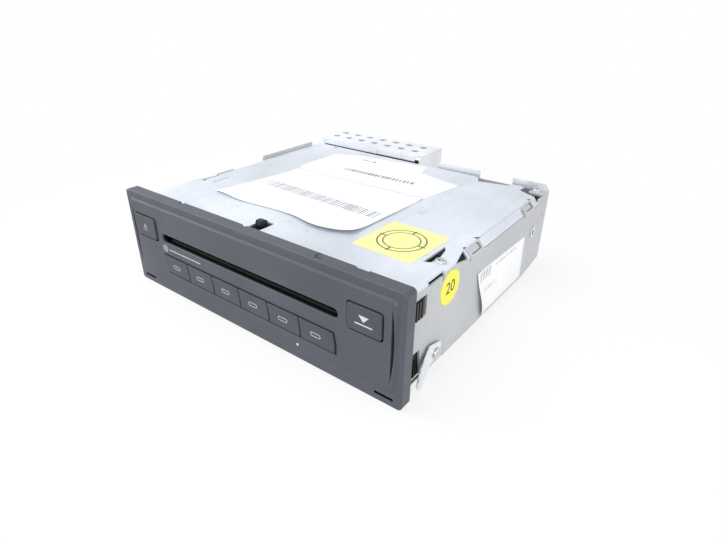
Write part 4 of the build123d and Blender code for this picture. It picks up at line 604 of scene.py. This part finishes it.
# Each of these places a flat shape, given by u and v in millimetres, on one surface of the case.
def front_plane(x, z, face):
    def place(u, v, lift):
        return at(x + u, face - lift, z + v)
    return place


def lid_plane(u, v, lift):
    return at(u, v, LID_Z + lift)


def wall_plane(u, v, lift):
    return at(WALL_X + lift, u, v)


def hood_plane(u, v, lift):
    return at(u, HOOD_FRONT - lift, v)


def shoulder_plane(offset):
    """On the right shoulder u is the depth, and v runs down the slope from the lid."""
    def place(u, v, lift):
        out = offset + lift
        x = SHOULDER_X + v * SLOPE_DOWN[0] + out * SLOPE_OUT[0]
        return at(x, u, LID_Z + v * SLOPE_DOWN[1] + out * SLOPE_OUT[1])
    return place


# ---- Marks on the front ----------------------------------------------------------------------
ROW_MIDDLE = -1.9
ROW_PITCH = 20.1
ROW_Z = 20.0
for i in range(6):
    printed_shapes(
        f"window_mark_{i + 1}",
        [(rounded(5.9, 2.1, 1.0), rounded(5.3, 1.5, 0.72))],
        front_plane(ROW_MIDDLE + (i - 2.5) * ROW_PITCH, ROW_Z, BUTTON_FACE),
        f"disc_button_{i + 1}",
    )
eject_triangle = [(-1.9, -0.9), (1.9, -0.9), (0.0, 1.6)]
printed_shapes(
    "eject_mark",
    [(eject_triangle, None), (oblong(-1.9, -2.3, 1.9, -1.6), None)],
    front_plane(-76.3, 38.5, BUTTON_FACE),
    "eject_button",
    ink=grey_print,
)
load_triangle = [(-2.6, 2.2), (0.0, -0.7), (2.6, 2.2)]
printed_shapes(
    "load_mark",
    [(load_triangle, None), (oblong(-4.4, -2.3, 4.4, -1.7), None)],
    front_plane(74.4, 38.2, BUTTON_FACE),
    "load_button",
)
printed_shapes(
    "disc_mark",
    [(circle(1.9, 24), circle(1.45, 24)), (circle(0.55, 16), None), (oblong(3.4, -0.25, 30.0, 0.25), None)],
    front_plane(-61.0, 29.2, -BEZEL_PROUD),
    "case",
)

# ---- Seams and folds of the sheet-metal case, with painted shadows and a painted highlight ---
SLOPE_DOWN = (0.6516, -0.7586)
SLOPE_OUT = (0.7586, 0.6516)
SHOULDER_X = 86.4
TAB_STARTS = (58.5, 124.0)
TAB_LONG = 13.0
TAB_MIDDLE = 2.57
TAB_SHADOW_OUTER = (10.2, 3.5, 1.2)
TAB_SHADOW_INNER = (9.0, 2.7, 0.9)
RECESS_FLOOR = 0.3
TAB_SHADOW_OPEN = 1.7
SEAM_FOOT = 46.45
SEAM_TOP = 46.7
EAR_SHADOW_LIFT = -0.97
HOOD_FRONT = 160.0
FIXING = (142.0, 30.6)
FIXING_LIFT = 0.53

# Painted shadow: dark bands run round three sides of each tab's recess, where its gap lies in shade, and stop short of
# the lid.
for i, start in enumerate(TAB_STARTS):
    bm = bmesh.new()
    middle = (start + TAB_LONG / 2, TAB_MIDDLE)
    outer = [(middle[0] + u, middle[1] + v) for u, v in rounded(*TAB_SHADOW_OUTER)]
    inner = [(middle[0] + u, middle[1] + v) for u, v in rounded(*TAB_SHADOW_INNER)]
    place = shoulder_plane(RECESS_FLOOR)
    for k in range(len(outer)):
        n = (k + 1) % len(outer)
        if max(outer[k][1], outer[n][1]) > middle[1] - TAB_SHADOW_OPEN:
            corners = (outer[k], outer[n], inner[n], inner[k])
            bm.faces.new([bm.verts.new(place(*corner, SEAM_LIFT)) for corner in corners])
    bmesh.ops.remove_doubles(bm, verts=bm.verts[:], dist=1e-7)
    bmesh.ops.recalc_face_normals(bm, faces=bm.faces[:])
    bmesh.ops.solidify(bm, geom=bm.faces[:], thickness=0.00004)
    piece(f"tab_shadow_{i + 1}", bm, seam_shadow, "case")
# Painted shade: dark triangles on the lid in the corners beside the tabs.
tab_corner_shadows = (
    [(83.9, 72.2), (86.4, 71.7), (86.6, 75.0)],
    [(84.6, 138.4), (86.4, 137.3), (86.5, 140.0)],
    [(85.1, 59.4), (86.4, 57.6), (86.4, 60.6)],
)
printed_shapes(
    "tab_corner_shadows",
    [(corner, None) for corner in tab_corner_shadows],
    lid_plane,
    "case",
    SEAM_LIFT,
    ink=seam_shadow,
)
# Painted shadow: dark strips on the wall under the shoulder, along the seam's gap.
printed_shapes(
    "shoulder_seam_shadow",
    [(oblong(start, SEAM_FOOT, end, SEAM_TOP), None) for start, end in ((72.0, 123.6), (137.4, 145.0))],
    wall_plane,
    "case",
    SEAM_LIFT,
    ink=seam_shadow,
)
# Painted shade: a thin grey line on the lid along the bend at the top of the shoulder.
printed_shapes(
    "lid_ridge_shade",
    [(oblong(SHOULDER_X - 0.15, 75.0, SHOULDER_X, 123.0), None)],
    lid_plane,
    "case",
    SEAM_LIFT,
    ink=grey_print,
)
# Painted shadow: a dark sheet under the opening in the right rear ear, where the inside lies in shade.
ear_shadow_outline = [(75.9, 150.9), (82.2, 150.9), (82.6, 159.3), (75.9, 159.3)]
printed_shapes(
    "ear_shadow_sheet", [(ear_shadow_outline, None)], lid_plane, "case", EAR_SHADOW_LIFT, ink=seam_shadow
)
printed_shapes(
    "hood_front_fold",
    [(oblong(-36.0, 51.1, -3.6, 54.0), None)],
    hood_plane,
    "case",
    -0.4,
    0.0004,
    ink=finish["hood_steel"],
)
# Painted highlight: the face of the boss round the side fixing takes the lighter hood steel.
printed_shapes(
    "fixing_face_highlight",
    [(circle(3.2, 32, FIXING), circle(1.75, 32, FIXING))],
    wall_plane,
    "case",
    FIXING_LIFT,
    ink=finish["hood_steel"],
)


# ---- Paper labels ----------------------------------------------------------------------------
def patch(across, deep, point):
    """Rows of points over a patch; point(u, v) gives each place, with u and v from 0 to 1."""
    return [[point(i / across, j / deep) for i in range(across + 1)] for j in range(deep + 1)]


def bell(value, middle, width):
    return math.exp(-(((value - middle) / width) ** 2))


def near(distance, reach):
    """1 at an edge, falling to 0 at reach."""
    return max(0.0, 1 - distance / reach)


def front_paper(u, v):
    """The front edge is wavy and lifts off the lid; the right and rear edges curl a little."""
    left_edge = Vector((-63.3, 37.9)).lerp(Vector((-55.3, 98.5)), v)
    right_edge = Vector((37.1, 38.9)).lerp(Vector((38.7, 101.4)), v)
    x, depth = left_edge.lerp(right_edge, u)
    bulge = 5.6 * bell(u, 0.82, 0.16) + 2.6 * bell(u, 0.22, 0.16)
    depth -= bulge * (1 - v) ** 3 * (1 - u**24)
    front = near(v, 0.22) ** 2
    lift = front * (0.5 + 1.7 * bell(u, 0.84, 0.2) + 0.9 * bell(u, 0.1, 0.12))
    lift += 1.1 * near(1 - u, 0.09) ** 2 * (1 - v) ** 0.7
    lift += 0.18 * math.sin(7 * u + 3 * v) ** 2 * front
    lift += 0.9 * near(1 - v, 0.14) ** 2
    return at(x, depth, LID_Z + MARK_LIFT + lift)


def side_label(u, v):
    """The front edge is loose and stands off the wall."""
    top = Vector((68.6, 34.4)).lerp(Vector((130.5, 32.2)), u)
    foot = Vector((78.7, 4.6)).lerp(Vector((132.6, 4.9)), u)
    depth, z = foot.lerp(top, v)
    stand = near(u, 0.16) ** 2 * (1.2 + 0.7 * math.sin(5 * v)) + 0.05 * math.sin(31 * u + 9 * v) ** 2
    return at(WALL_X + 0.08 + stand, depth, z)


front_sheet = sheet_of(patch(48, 30, front_paper), 0.00012)
piece("front_paper_sheet", front_sheet, paper_print, "case", True, ("front_paper_label",))
side_sheet = sheet_of(patch(32, 16, side_label), 0.0001)
piece("side_label_sheet", side_sheet, label_print, "case", True, ("side_label",))

# Plain number on the round sticker, turned to read from the right.
READ_FROM_RIGHT = Matrix(((0, 0, 1, 0), (1, 0, 0, 0), (0, 1, 0, 0), (0, 0, 0, 1)))
font = bpy.data.curves.new("number_mark", "FONT")
font.body = "20"
font.size = 0.0082
font.align_x = "CENTER"
font.align_y = "CENTER"
font.extrude = 0.00002
number = bpy.data.objects.new("number_mark", font)
bpy.context.scene.collection.objects.link(number)
number.matrix_world = Matrix.Translation(at(WALL_X + 0.24, 40.6, 40.0)) @ READ_FROM_RIGHT
font.materials.append(dark_print)
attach(number, "case")

# ---- Floor -----------------------------------------------------------------------------------
floor_bm = bmesh.new()
bmesh.ops.create_grid(floor_bm, x_segments=8, y_segments=8, size=6.0)
floor_mesh = bpy.data.meshes.new("floor")
floor_bm.to_mesh(floor_mesh)
floor_bm.free()
floor = bpy.data.objects.new("floor", floor_mesh)
bpy.context.scene.collection.objects.link(floor)
floor.location.z = cad_box[0][2]
fm = Nodes("floor")
fm.set("Base Color", fm.mix(fm.ramp(fm.noise(3.0), 0.3, 0.7), (0.86, 0.86, 0.87), (0.88, 0.88, 0.89)))
fm.set("Roughness", 0.8)
glow = fm.tree.nodes.new("ShaderNodeEmission")
glow.inputs["Strength"].default_value = 1.0
fade = fm.tree.nodes.new("ShaderNodeMixShader")
path = fm.tree.nodes.new("ShaderNodeLightPath")
seen = fm.math("MAXIMUM", path.outputs["Is Camera Ray"], path.outputs["Is Glossy Ray"])
floor_x, floor_y, _ = fm.split(fm.coords)
away = fm.math("SQRT", fm.math("ADD", fm.math("POWER", floor_x, 2.0), fm.math("POWER", floor_y, 2.0)))
fm.tree.links.new(fm.math("MULTIPLY", seen, fm.ramp(away, 0.13, 0.30, 0.78, 1.0)), fade.inputs[0])
fm.tree.links.new(fm.shader.outputs[0], fade.inputs[1])
fm.tree.links.new(glow.outputs[0], fade.inputs[2])
fm.tree.links.new(fade.outputs[0], fm.out.inputs[0])
floor.data.materials.append(fm.material)
